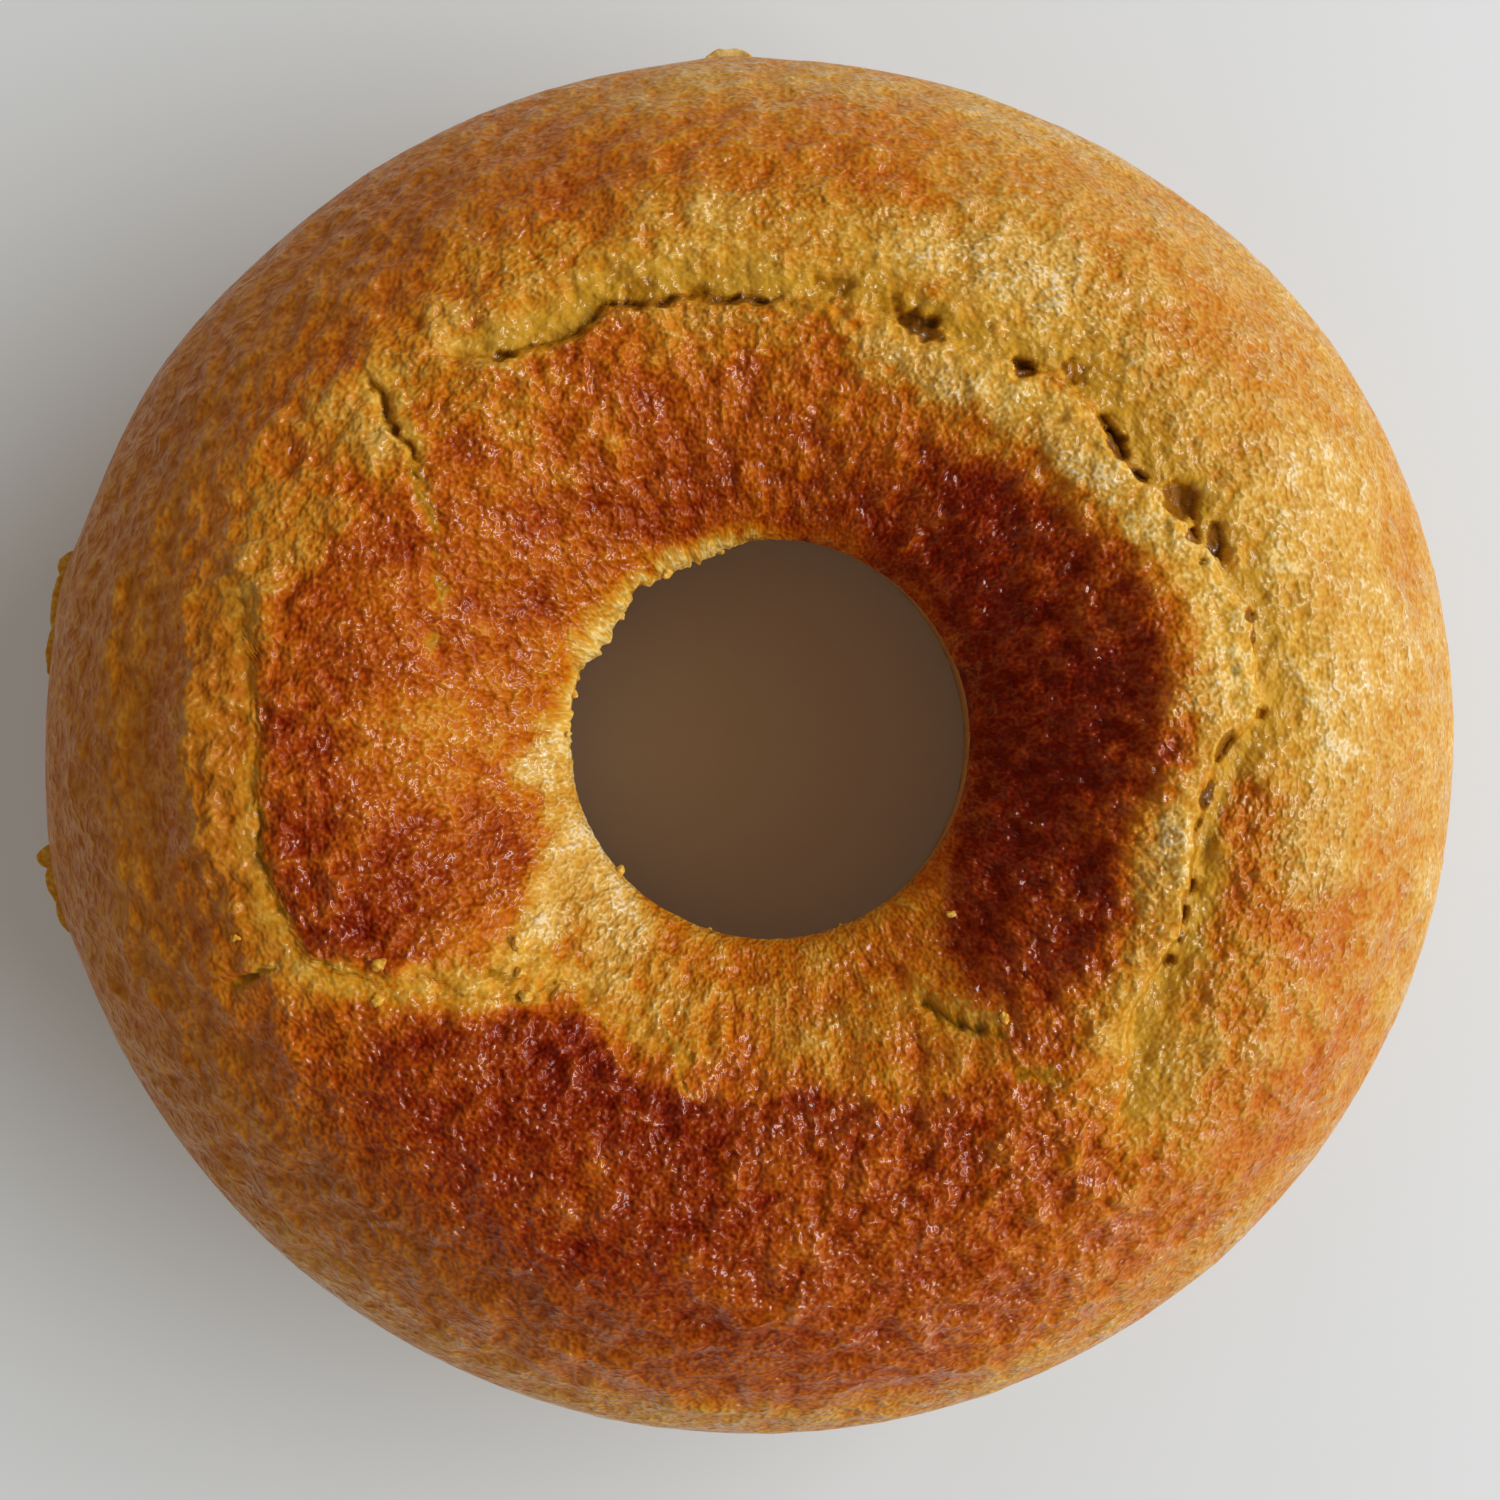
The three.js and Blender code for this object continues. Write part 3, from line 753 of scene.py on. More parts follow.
FINISHING_BROWNING = tuple(Patch(*row) for row in (
    # the rim of the hole
    (-172, 33, 38, 4.1, 0.10, 4), (-143, 35, 20, 4.5, 0.10, 4), (-90, 33, 40, 4, 0.34, 4),
    # the pale band outside the main rift, and the orange blotches on it
    (14, 84, 20, 15, 0.10, 4), (-42, 76, 9, 8, 0.30, 4), (-24, 76, 6, 10, 0.36, 4),
    (48, 80, 22, 10, 0.19, 4), (67, 77, 12, 9, 0.07, 4), (81, 78, 8, 8, 0.24, 3),
    (96, 76, 14, 9, 0.31, 4), (122, 78, 12, 9, 0.34, 4), (-26, 88, 9, 7, 0.36, 2),
    (50, 92, 18, 6, 0.28, 2), (112, 90, 14, 5, 0.50, 2), (84, 89, 10, 5, 0.42, 2),
))
# How much less the edges of plates stray than those of patches
PLATE_DRIFT = 0.5
# Where the mottling is weaker: outside the left groove, and on the flanks all round
EVEN_FLANKS = (Flank(72, 78, 0.6, 180, 26), Flank(80, 94, 0.55))
# Where the grain is weaker, and where it is strong after all: the flank below the hole
SMOOTH_FLANK = Flank(78, 94, 0.30)
PEBBLY_FLANK = Flank(78, 94, 0.22, -100, 58)
# Painted shade: the left flank, away from the window, and the ridge outside the groove get some of the
# darker tan of the sides
SHADED_LEFT_FLANK = Flank(80, 98, 0.6, -178, 72)
SHADED_LEFT_RIDGE = Patch(180, 81.5, 24, 6, 0.55, 4)
# Torn, airy crumb away from the cracks themselves, with its share
TORN_PATCHES = tuple(Patch(*row) for row in (
    (-145.5, 61, 3.5, 14, 0.3, 4), (-138.5, 50.5, 4.5, 5, 1.0, 4), (-42, 75, 6, 8, 0.8, 4),
    (15, 84, 14, 10, 0.5, 2), (-57, 44, 6, 7, 0.5, 2),
))


@dataclass
class CrustSurvey:
    """Everything about the crust at each of its points: relief, and what colours it."""

    relief: np.ndarray
    browning: np.ndarray
    torn: np.ndarray
    # the crumb's brown and painted shade in crevices and pores
    crevice_tone_and_shade: np.ndarray
    olive: np.ndarray

    def open_crack(self, crack: Crack, found: CrackReading, spread: np.ndarray) -> None:
        """Adds a crack's crevice, with painted shade in it, its lip, and the torn crumb on both sides of it.

        Args:
            crack: The crack.
            found: What the points find at their nearest place on it.
            spread: How much further the torn crumb reaches at each point, around 1.
        """
        ends = blend(found.along, 0.0, crack.taper) * blend(found.length - found.along, 0.0, crack.taper)
        width = crack.half_width * (crack.shut_width + crack.gape_width * found.gape)
        gape = np.minimum(found.gape, crack.fullest_gape)
        split = ends * bell(found.offset, width, crack.steepness) * gape
        lip = ends * bell(found.offset + crack.lip_width, crack.lip_width)
        outside = blend(found.offset, *crack.torn_edge)
        band = ends * outside * fade(found.offset, found.outer * spread, crack.fade_outwards)
        inside = ends * (1 - outside) * fade(-found.offset, found.inner * spread, crack.fade_inwards)
        share, margin = crack.band_width
        drop = outside * bell(found.offset, found.outer * share + margin) * ends
        trough = ends * outside * bell(found.offset - crack.trough_middle, crack.trough_width)
        self.relief += crack.lip * lip - crack.depth * split - crack.band_drop * drop
        self.torn = np.maximum(self.torn, np.maximum(band, inside))
        # painted shade in the crevice, darker where it gapes wider
        self.crevice_tone_and_shade = np.maximum(self.crevice_tone_and_shade, split)
        self.olive = np.maximum(self.olive, crack.trough * trough)

    def sink_pore(self, pore: Pore, hollow: np.ndarray) -> None:
        """Adds a burst pore, with painted shade that is darker the deeper it is.

        Args:
            pore: The pore.
            hollow: Share of its depth at each point.
        """
        self.relief -= pore.depth_share * pore.depth * hollow
        # painted shade in the pore, darker the deeper it is
        self.crevice_tone_and_shade = np.maximum(self.crevice_tone_and_shade, hollow * min(1.0, pore.depth / pore.full_shade_depth))
        self.torn = np.maximum(self.torn, hollow * pore.torn_share)

    def raise_bead(self, bead: Bead, dome: np.ndarray) -> None:
        """Adds a bead, which is pale all over.

        Args:
            bead: The bead.
            dome: Share of its height at each point.
        """
        self.relief += bead.rise * bead.half_width * dome
        self.torn = np.maximum(self.torn, dome)
        self.crevice_tone_and_shade = self.crevice_tone_and_shade * (1 - dome)
        self.olive = self.olive * (1 - dome)


def survey_crust(angle: np.ndarray, radius: np.ndarray, place: np.ndarray) -> CrustSurvey:
    """Works out the crust's relief and colouring.

    Args:
        angle: Angle of each point.
        radius: Radius of each point along the smooth section.
        place: x, y and z of each point on the smooth crust, in millimetres, one per row.

    Returns:
        The survey, with one value per point in each array.
    """
    flat = polar(angle, radius)
    wander = np.stack([ripple.at(place) for ripple in WANDER], axis=-1)
    ragged = PORE_RAGS.at(place)
    spread = 1.0 + TORN_SPREAD.at(place)
    relief, torn, crevice_tone_and_shade, olive = np.zeros((4, len(angle)))
    survey = CrustSurvey(relief, paint_browning(angle, radius, place), torn, crevice_tone_and_shade, olive)
    for crack in CRACKS:
        survey.open_crack(crack, read_crack(crack, flat + crack.ragged * wander), spread)
    for pore in PORES:
        survey.sink_pore(pore, pore.hollow(flat + pore.wander * wander, ragged))
    for bead in BEADS:
        survey.raise_bead(bead, bead.dome(flat + bead.wander * wander))
    survey.relief += sum(swell.value(angle, radius) for swell in SWELLS + CREASES)
    for patch in TORN_PATCHES:
        survey.torn = np.maximum(survey.torn, patch.value(angle, radius) * spread)
    survey.torn = np.clip(survey.torn, 0.0, 1.0)
    survey.crevice_tone_and_shade = np.clip(survey.crevice_tone_and_shade, 0.0, 1.0)
    return survey


def paint_browning(angle: np.ndarray, radius: np.ndarray, place: np.ndarray) -> np.ndarray:
    """Works out how brown the crust is at each point, with the edges of patches and plates ragged.

    Args:
        angle: Angle of each point.
        radius: Radius of each point along the smooth section.
        place: x, y and z of each point on the smooth crust, one per row.

    Returns:
        The browning at each point.
    """
    drift = BROWNING_DRIFT.at(place)
    stray = BROWNING_STRAY.at(place)
    browning = np.full(len(angle), BROWNING_BASE)
    for patch in BROWNING:
        browning += (patch.amount - browning) * patch.weight(angle + stray, radius + drift)
    for plate in PLATES:
        browning = plate.paint(browning, angle + PLATE_DRIFT * stray, radius + PLATE_DRIFT * drift)
    for patch in FINISHING_BROWNING:
        browning += (patch.amount - browning) * patch.weight(angle + stray, radius + drift)
    mottling = BROAD_MOTTLING.at(place) + FINE_MOTTLING.at(place)
    even = np.maximum(*(flank.value(angle, radius) for flank in EVEN_FLANKS))
    return np.clip(browning + mottling * (1 - even), 0.0, 1.0)


class Zone(Enum):
    """The stretches of the section, numbered by the station at which each starts."""

    HOLE_FOOT = 0
    HOLE_WALL = 1
    RIM = 2
    INNER_SLOPE = 3
    RIFT = 4
    OUTER_SLOPE = 5
    SHOULDER = 6
    TIN_WALL = 7
    TIN_FOOT = 8
    BASE = 9


@dataclass(frozen=True)
class RimFringe:
    """The torn fringe of the rim, which stands out over the hole."""

    angle: float = 140.0
    half_width: float = 46.0
    power: float = 8.0
    reach: float = 1.9
    # share of the reach that the fringe has all round, and its usual and largest share along it
    everywhere: float = 0.12
    usual: float = 0.45
    largest: float = 1.1
    # how far under the rim the fringe starts and is full, and how far outwards it starts to fade and ends
    under: tuple[float, float] = (2.2, 0.6)
    outwards: tuple[float, float] = (0.2, 2.6)
    # how much faster the ragged edge changes up the wall than round it
    upright: float = 1.5

    def stand_out(
        self, section: RingSection, angle: np.ndarray, radius: np.ndarray, height: np.ndarray
    ) -> np.ndarray:
        """How far the fringe stands out at each point near the rim.

        Args:
            section: The section of the ring.
            angle: Angle of each point.
            radius: Radius of each point along the smooth section.
            height: Height of each point on the smooth section.

        Returns:
            The reach of each point.
        """
        rim = section.rim_radius
        edge = polar(angle, np.full(len(angle), rim))
        shares = self.usual + FRINGE_RAGS.at(np.column_stack([edge, self.upright * (radius + height)]))
        along = bell(angle_between(angle, self.angle), self.half_width, self.power) + self.everywhere
        low, high = (section.rim_height - drop for drop in self.under)
        near, far = (rim + reach for reach in self.outwards)
        across = blend(height, low, high) * (1 - blend(radius, near, far))
        return along * across * self.reach * np.clip(shares, 0.0, self.largest)


@dataclass(frozen=True)
class CrustGrain:
    """Fine relief of the crust, and the painted light and shade that it puts into the colour."""

    bubble_seed: int = 22
    bubble_size: float = 3.0
    bubble_height: float = 0.6
    bubble_level: float = 0.62
    # share of the grain that pale crust has, and the browning from which it has more and has all
    pale_share: float = 0.68
    baked: tuple[float, float] = (0.20, 0.50)
    torn_pebbles: float = 0.5
    # browning of torn crumb: its least, its share of the crust's browning and the most that counts
    torn_browning: float = 0.07
    torn_follow: float = 0.36
    torn_most: float = 0.5
    # painted light and shade: how much paler a top is than a hollow, for each millimetre, in torn crumb and
    # in crust
    torn_light_and_shade: float = 0.15
    crust_light_and_shade: float = 0.11
    torn_cover: float = 0.9

    def relief(
        self, place: np.ndarray, combed: np.ndarray, pebbly: np.ndarray, survey: CrustSurvey
    ) -> np.ndarray:
        """Lumps, wrinkles, pebbly grain, and open crumb where the crust has torn.

        Args:
            place: x, y and z of each point on the smooth crust, one per row.
            combed: Place of each point on the squeezed surface.
            pebbly: How strong the grain is at each point.
            survey: The survey of the crust.

        Returns:
            Height of each point over the smooth crust.
        """
        lumps = LUMPS.at(place) + pebbly * SMALL_LUMPS.at(place)
        bubbles = self.bubble_level - Noise(self.bubble_seed).cells(place, self.bubble_size)
        open_crumb = self.bubble_height * bubbles + TORN_GRAIN.at(place)
        baked = self.pale_share + (1 - self.pale_share) * blend(survey.browning, *self.baked)
        wrinkles = (1 - survey.torn) * WRINKLES.at(combed)
        pebbles = (1 - self.torn_pebbles * survey.torn) * PEBBLES.at(place)
        return lumps + pebbly * (baked * (wrinkles + pebbles)) + survey.torn * open_crumb

    def browning(self, survey: CrustSurvey, grain: np.ndarray) -> np.ndarray:
        """Browning with pale torn crumb, and with painted light on the tops of the grain and painted shade
        in its hollows.

        Args:
            survey: The survey of the crust.
            grain: Height of the grain at each point.

        Returns:
            The browning at each point.
        """
        # painted light on the tops of the relief and painted shade in its hollows
        uneven = grain - grain.mean()
        follow = self.torn_follow * np.minimum(survey.browning, self.torn_most)
        crumb = self.torn_browning + follow - self.torn_light_and_shade * uneven
        crust = survey.browning - self.crust_light_and_shade * uneven
        return crust + (crumb - crust) * self.torn_cover * survey.torn


@dataclass
class CakeBody:
    """The whole cake in one closed mesh, with the crust's cracks, pores and grain as relief."""

    section: RingSection = RingSection()
    fringe: RimFringe = RimFringe()
    grain: CrustGrain = CrustGrain()
    columns: int = 560
    rim_knee: float = 37.0
    shoulder: float = 104.0
    # half width of the rift's zone, and how near to the knee the cracks come before it narrows
    rift_reach: float = 10.0
    knee_room: float = 14.0
    # how many degrees on each side count for a place on the guide, and the half width of that average
    guide_span: int = 9
    guide_blur: float = 4.0
    # distance under which the two ends of the spin count as one place
    seam: float = 0.01
    # how far from the rim, from the widest place and along the walls the relief dies out
    rim_fade: float = 5.0
    side_fade: float = 8.0
    wall_foot_fade: tuple[float, float] = (0.5, 5.0)
    wall_top_fade: float = 4.0
    hole_wall_relief: float = 0.6
    # how far above the widest place the tan of the sides starts, and over what height it comes
    tan_rise: float = 6.0
    tan_fade: float = 8.0
    hole_tan: float = 0.3
    hole_browning: float = 0.16
    # reach from which the fringe is wholly torn crumb, and how much of the browning it loses
    frayed_reach: float = 0.6
    frayed_paleness: float = 0.95
    # radii on the crust, and the radii of the circles on which the grain there is drawn
    comb_radii: tuple[float, ...] = (32.0, 62.0, 78.0, 98.0, 116.0)
    comb_circles: tuple[float, ...] = (44.0, 66.0, 76.0, 88.0, 104.0)
    # share of each millimetre outwards that counts near the hole, which draws the grain out there, and
    # the radii over which that ends
    comb_squeeze: float = 0.75
    comb_ease: tuple[float, float] = (52.0, 68.0)
    shift: np.ndarray = field(default_factory=lambda: np.zeros(2))
    points: np.ndarray = field(default_factory=lambda: np.zeros((0, 3)))
    rows: tuple[tuple[Zone, int], ...] = (
        (Zone.HOLE_FOOT, 4), (Zone.HOLE_WALL, 7), (Zone.RIM, 5), (Zone.INNER_SLOPE, 17), (Zone.RIFT, 23),
        (Zone.OUTER_SLOPE, 22), (Zone.SHOULDER, 12), (Zone.TIN_WALL, 8), (Zone.TIN_FOOT, 4), (Zone.BASE, 3),
    )

    def stations(self) -> np.ndarray:
        """Lists where the rings of the mesh lie along the section, up the hole and all the way round."""
        return np.concatenate([zone.value + np.arange(count) / count for zone, count in self.rows])

    def _guide(self, angle: np.ndarray) -> np.ndarray:
        """Radius of the ring of cracks at each angle, smoothed so that the mesh flows along it.

        Args:
            angle: Angle of each point.

        Returns:
            The radius at each point.
        """
        stations = np.array([station[:2] for crack in GUIDE_CRACKS for station in crack.stations])
        turn = stations[:, 0] % FULL_TURN
        order = np.argsort(turn)
        grid = np.arange(0.0, FULL_TURN, 1.0)
        raw = np.interp(grid, turn[order], stations[order, 1], period=FULL_TURN)
        span = self.guide_span
        window = bell(np.arange(-span, span + 1), self.guide_blur)
        wrapped = np.concatenate([raw[-span:], raw, raw[:span]])
        smooth = np.convolve(wrapped, window / window.sum(), mode="valid")
        return np.interp(angle % FULL_TURN, grid, smooth, period=FULL_TURN)

    def _ring_edges(self, angle: np.ndarray) -> np.ndarray:
        """Radii at which the crust's zones start and end, the rift's zone following the ring of cracks.

        Args:
            angle: Angle of each point.

        Returns:
            The radii, one row per point.
        """
        s = self.section
        guide = self._guide(angle)
        start = guide - self.rift_reach * np.minimum(1.0, (guide - self.rim_knee) / self.knee_room)
        end = guide + self.rift_reach
        edges = (s.rim_radius, self.rim_knee, start, end, self.shoulder, s.widest_radius)
        return np.stack([np.broadcast_to(edge, guide.shape) for edge in edges], axis=-1)

    def trace(self, angle: np.ndarray, station: np.ndarray) -> tuple[np.ndarray, np.ndarray, np.ndarray]:
        """Follows the smooth section.

        Args:
            angle: Angle of each point.
            station: Place of each point along the section.

        Returns:
            Radius, height and how far each point follows the outer outline.
        """
        s = self.section
        zone = np.clip(np.floor(station).astype(int), 0, len(Zone) - 1)
        share = station - zone
        quarter = np.radians(HALF_TURN / 2 * share)
        wall_share = 1.0 - (1.0 - share) ** 2
        crust_zone = np.clip(zone - Zone.RIM.value, 0, Zone.SHOULDER.value - Zone.RIM.value)
        edges = self._ring_edges(angle)
        at = np.arange(len(angle))
        start, end = edges[at, crust_zone], edges[at, crust_zone + 1]
        crust = start + (end - start) * share
        base_end = s.hole_base_radius + s.hole_foot_reach
        radii = {
            Zone.HOLE_FOOT: s.hole_base_radius + s.hole_foot_reach * (1 - np.sin(quarter)),
            Zone.HOLE_WALL: s.hole_base_radius + wall_share * (s.rim_radius - s.hole_base_radius),
            Zone.TIN_WALL: s.widest_radius + share * (s.tin_foot_radius - s.widest_radius)
            + s.wall_bulge * np.sin(np.pi * share),
            Zone.TIN_FOOT: s.base_radius + (s.tin_foot_radius - s.base_radius) * np.cos(quarter),
            Zone.BASE: s.base_radius + share * (base_end - s.base_radius),
        }
        heights = {
            Zone.HOLE_FOOT: s.hole_foot_height * (1 - np.cos(quarter)),
            Zone.HOLE_WALL: s.hole_foot_height + wall_share * (s.rim_height - s.hole_foot_height),
            Zone.TIN_WALL: s.widest_height + share * (s.tin_foot_height - s.widest_height),
            Zone.TIN_FOOT: s.tin_foot_height * (1 - np.sin(quarter)),
            Zone.BASE: np.zeros(len(angle)),
        }
        radius = crust
        height = s.crust_height(crust)
        for kind in radii:
            radius = np.where(zone == kind.value, radii[kind], radius)
            height = np.where(zone == kind.value, heights[kind], height)
        follow = np.where(zone <= Zone.HOLE_WALL.value, 0.0, s.outward_share(radius))
        follow = np.where((zone == Zone.TIN_WALL.value) | (zone == Zone.TIN_FOOT.value), 1.0, follow)
        base_share = (radius - base_end) / (s.base_radius - base_end)
        return radius, height, np.where(zone == Zone.BASE.value, np.clip(base_share, 0, 1), follow)

    def build(self) -> bpy.types.Object:
        """Spins the section into a ring, then moves its points to the real cake's surface.

        Returns:
            The cake.
        """
        cake = self._draw_section()
        self._spin(cake)
        self._refine_rift(cake)
        self._shape(cake)
        return cake

    def _draw_section(self) -> bpy.types.Object:
        """Draws the closed section as one loop of edges, one vertex for each row of the mesh.

        Returns:
            The section, with the station of each vertex stored on it.
        """
        stations = self.stations()
        radii, heights, _ = self.trace(np.zeros(len(stations)), stations)
        bpy.ops.object.select_all(action="DESELECT")
        bpy.ops.mesh.primitive_plane_add(size=MM, location=(radii[0] * MM, 0, heights[0] * MM))
        cake = bpy.context.object
        cake.name = "cake_crust_and_crumb"
        bpy.ops.object.transform_apply(location=True, rotation=True, scale=True)
        bpy.ops.object.mode_set(mode="EDIT")
        bpy.ops.mesh.select_all(action="SELECT")
        bpy.ops.mesh.merge(type="CENTER")
        for out, up in zip(np.diff(radii) * MM, np.diff(heights) * MM):
            bpy.ops.mesh.extrude_region_move(TRANSFORM_OT_translate={"value": (out, 0, up)})
        bpy.ops.object.mode_set(mode="OBJECT")
        mesh = cake.data
        for i in (0, len(mesh.vertices) - 1):
            mesh.vertices[i].select = True
        bpy.ops.object.mode_set(mode="EDIT")
        bpy.ops.mesh.edge_face_add()
        bpy.ops.object.mode_set(mode="OBJECT")
        layer = mesh.attributes.new("station", "FLOAT", "POINT")
        layer.data.foreach_set("value", stations.astype(np.float32))
        return cake

    def _spin(self, cake: bpy.types.Object) -> None:
        """Spins the section all round the hole's axis and closes the ring.

        Args:
            cake: The section.
        """
        bpy.ops.object.mode_set(mode="EDIT")
        bpy.ops.mesh.select_all(action="SELECT")
        bpy.ops.mesh.spin(steps=self.columns, angle=math.tau, center=(0, 0, 0), axis=(0, 0, 1))
        bpy.ops.mesh.select_all(action="SELECT")
        bpy.ops.mesh.remove_doubles(threshold=self.seam * MM)
        bpy.ops.mesh.normals_make_consistent(inside=False)
        bpy.ops.object.mode_set(mode="OBJECT")

    def _refine_rift(self, cake: bpy.types.Object) -> None:
        """Cuts the faces along the ring of cracks in four, where the finest relief is.

        Args:
            cake: The ring.
        """
        mesh = cake.data
        station = self._read(mesh, "station")
        tolerance = 1e-4
        start, end = Zone.RIFT.value - tolerance, Zone.OUTER_SLOPE.value + tolerance
        inside = (station >= start) & (station <= end)
        bpy.ops.object.mode_set(mode="EDIT")
        bpy.ops.mesh.select_mode(type="VERT")
        bpy.ops.mesh.select_all(action="DESELECT")
        bpy.ops.object.mode_set(mode="OBJECT")
        mesh.vertices.foreach_set("select", inside)
        bpy.ops.object.mode_set(mode="EDIT")
        bpy.ops.mesh.subdivide(number_cuts=1, ngon=False)
        bpy.ops.mesh.select_all(action="DESELECT")
        bpy.ops.object.mode_set(mode="OBJECT")

    def _shape(self, cake: bpy.types.Object) -> None:
        """Moves every vertex to the cake's surface and writes what colours it.

        Args:
            cake: The ring.
        """
        mesh = cake.data
        spun = np.zeros(len(mesh.vertices) * 3)
        mesh.vertices.foreach_get("co", spun)
        x, y, _ = spun.reshape(-1, 3).T
        angle = np.degrees(np.arctan2(y, x))
        station = self._read(mesh, "station")
        radius, height, follow = self.trace(angle, station)
        on_crust = (station >= Zone.RIM.value) & (station < Zone.TIN_WALL.value)
        on_hole = station < Zone.RIM.value
        place = np.column_stack([polar(angle, radius), height])
        survey = survey_crust(angle, radius, place)
        combed = self._combed(angle, station, radius, height)
        pebbly = 1 - SMOOTH_FLANK.value(angle, radius) + PEBBLY_FLANK.value(angle, radius)
        kept = self._relief_kept(radius) * on_crust
        grain = self.grain.relief(place, combed, pebbly, survey)
        relief = kept * (survey.relief + grain) + self._wall_relief(station, place, height)
        out, up = self.section.crust_normal(radius)
        out = np.where(on_crust, out, np.where(on_hole, -1.0, 1.0))
        up = np.where(on_crust, up, 0.0)
        fringe = (on_crust | on_hole) * self.fringe.stand_out(self.section, angle, radius, height)
        reach = radius + relief * out + follow * self.section.flake_reach(angle, height) - fringe
        plan = self.section.plan(angle, reach, follow)
        raised = np.where(height > 0.0, np.maximum(height + relief * up, 0.0), 0.0)
        self.points = np.column_stack([plan, raised])
        self.shift = self._shift_over_node(self.points)
        self.points[:, :2] += self.shift
        mesh.vertices.foreach_set("co", (self.points * MM).ravel())
        frayed = np.clip(fringe / self.frayed_reach, 0.0, 1.0)
        # the browning carries the grain's painted light and shade
        browning = np.where(on_hole, self.hole_browning, self.grain.browning(survey, grain))
        write_look(mesh, CrustLook(
            browning=browning * (1 - self.frayed_paleness * frayed),
            torn=np.maximum(survey.torn * kept, frayed),
            crevice_tone_and_shade=survey.crevice_tone_and_shade * kept,
            olive=survey.olive * survey.torn * kept,
            tin_side=self._tan_share(angle, station, radius, height) * (1 - frayed),
            pebbly=pebbly,
            combed=combed,
        ))
        mesh.attributes.remove(mesh.attributes["station"])
        mesh.update()
        mesh.shade_smooth()

    def _relief_kept(self, radius: np.ndarray) -> np.ndarray:
        """Share of the crust's relief that is kept, dying out at the rim and at the widest place.

        Args:
            radius: Radius of each point along the smooth section.

        Returns:
            The share at each point.
        """
        s = self.section
        at_rim = blend(radius, s.rim_radius, s.rim_radius + self.rim_fade)
        return at_rim * blend(s.widest_radius - radius, 0.0, self.side_fade)

    def _tan_share(
        self, angle: np.ndarray, station: np.ndarray, radius: np.ndarray, height: np.ndarray
    ) -> np.ndarray:
        """How much of the tan of the moulded sides each point has: the hole has some, and the left flank
        some as painted shade.

        Args:
            angle: Angle of each point.
            station: Place of each point along the section.
            radius: Radius of each point along the smooth section.
            height: Height of each point on the smooth section.

        Returns:
            The share of tan at each point.
        """
        under = blend(self.section.widest_height + self.tan_rise - height, 0.0, self.tan_fade)
        sides = (station >= Zone.SHOULDER.value) * under
        on_hole = station < Zone.RIM.value
        on_crust = (station >= Zone.RIM.value) & (station < Zone.TIN_WALL.value)
        # painted shade on the left flank and its ridge, away from the window
        dull = SHADED_LEFT_FLANK.value(angle, radius) + SHADED_LEFT_RIDGE.value(angle, radius)
        return np.maximum(sides, self.hole_tan * on_hole + dull * on_crust)

    def _combed(
        self, angle: np.ndarray, station: np.ndarray, radius: np.ndarray, height: np.ndarray
    ) -> np.ndarray:
        """Squeezes the surface so that noise drawn there runs as the crust's grain does.

        The grain runs outwards near the hole, and round the cake on the flanks.

        Args:
            angle: Angle of each point.
            station: Place of each point along the section.
            radius: Radius of each point along the smooth section.
            height: Height of each point on the smooth section.

        Returns:
            Place of each point on the squeezed surface, one per row.
        """
        s = self.section
        curve = s.crust_curve()
        squeeze = self.comb_squeeze + (1 - self.comb_squeeze) * blend(curve[1:, 0], *self.comb_ease)
        path = np.concatenate([[0.0], np.cumsum(np.hypot(*np.diff(curve, axis=0).T) * squeeze)])
        along = np.interp(radius, curve[:, 0], path)
        along = np.where(station < Zone.RIM.value, height - s.rim_height, along)
        below = path[-1] + s.widest_height - height + s.widest_radius - radius
        along = np.where(station >= Zone.TIN_WALL.value, below, along)
        circle = np.interp(radius, self.comb_radii, self.comb_circles)
        circle = np.where(station >= Zone.TIN_WALL.value, self.comb_circles[-1], circle)
        return np.column_stack([polar(angle, circle), along])

    def _wall_relief(self, station: np.ndarray, place: np.ndarray, height: np.ndarray) -> np.ndarray:
        """Slight unevenness of the sides that were moulded by the tin.

        Args:
            station: Place of each point along the section.
            place: x, y and z of each point on the smooth crust, one per row.
            height: Height of each point on the smooth section.

        Returns:
            How far each point stands out from the smooth side.
        """
        in_hole = station < Zone.RIM.value
        strength = self.hole_wall_relief * in_hole + (station > Zone.TIN_WALL.value)
        top = np.where(in_hole, self.section.rim_height, self.section.widest_height)
        at_foot = blend(height, *self.wall_foot_fade)
        waves = WALL_WAVES.at(place) + WALL_GRAIN.at(place)
        return waves * strength * at_foot * blend(top - height, 0.0, self.wall_top_fade)

    @staticmethod
    def _shift_over_node(points: np.ndarray) -> np.ndarray:
        """Works out the shift that gives the points the same middle in plan as the cake's node.

        Args:
            points: x, y and z of each point, one per row.

        Returns:
            x and y of the shift.
        """
        low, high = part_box(CAKE_NODE)
        node_middle = (np.array(low[:2]) + np.array(high[:2])) / 2 / MM
        return node_middle - (points[:, :2].min(axis=0) + points[:, :2].max(axis=0)) / 2

    @staticmethod
    def _read(mesh: bpy.types.Mesh, name: str) -> np.ndarray:
        """Reads a value stored for each vertex.

        Args:
            mesh: The mesh.
            name: Name of the value.

        Returns:
            The value of each vertex.
        """
        values = np.zeros(len(mesh.vertices))
        mesh.attributes[name].data.foreach_get("value", values)
        return values

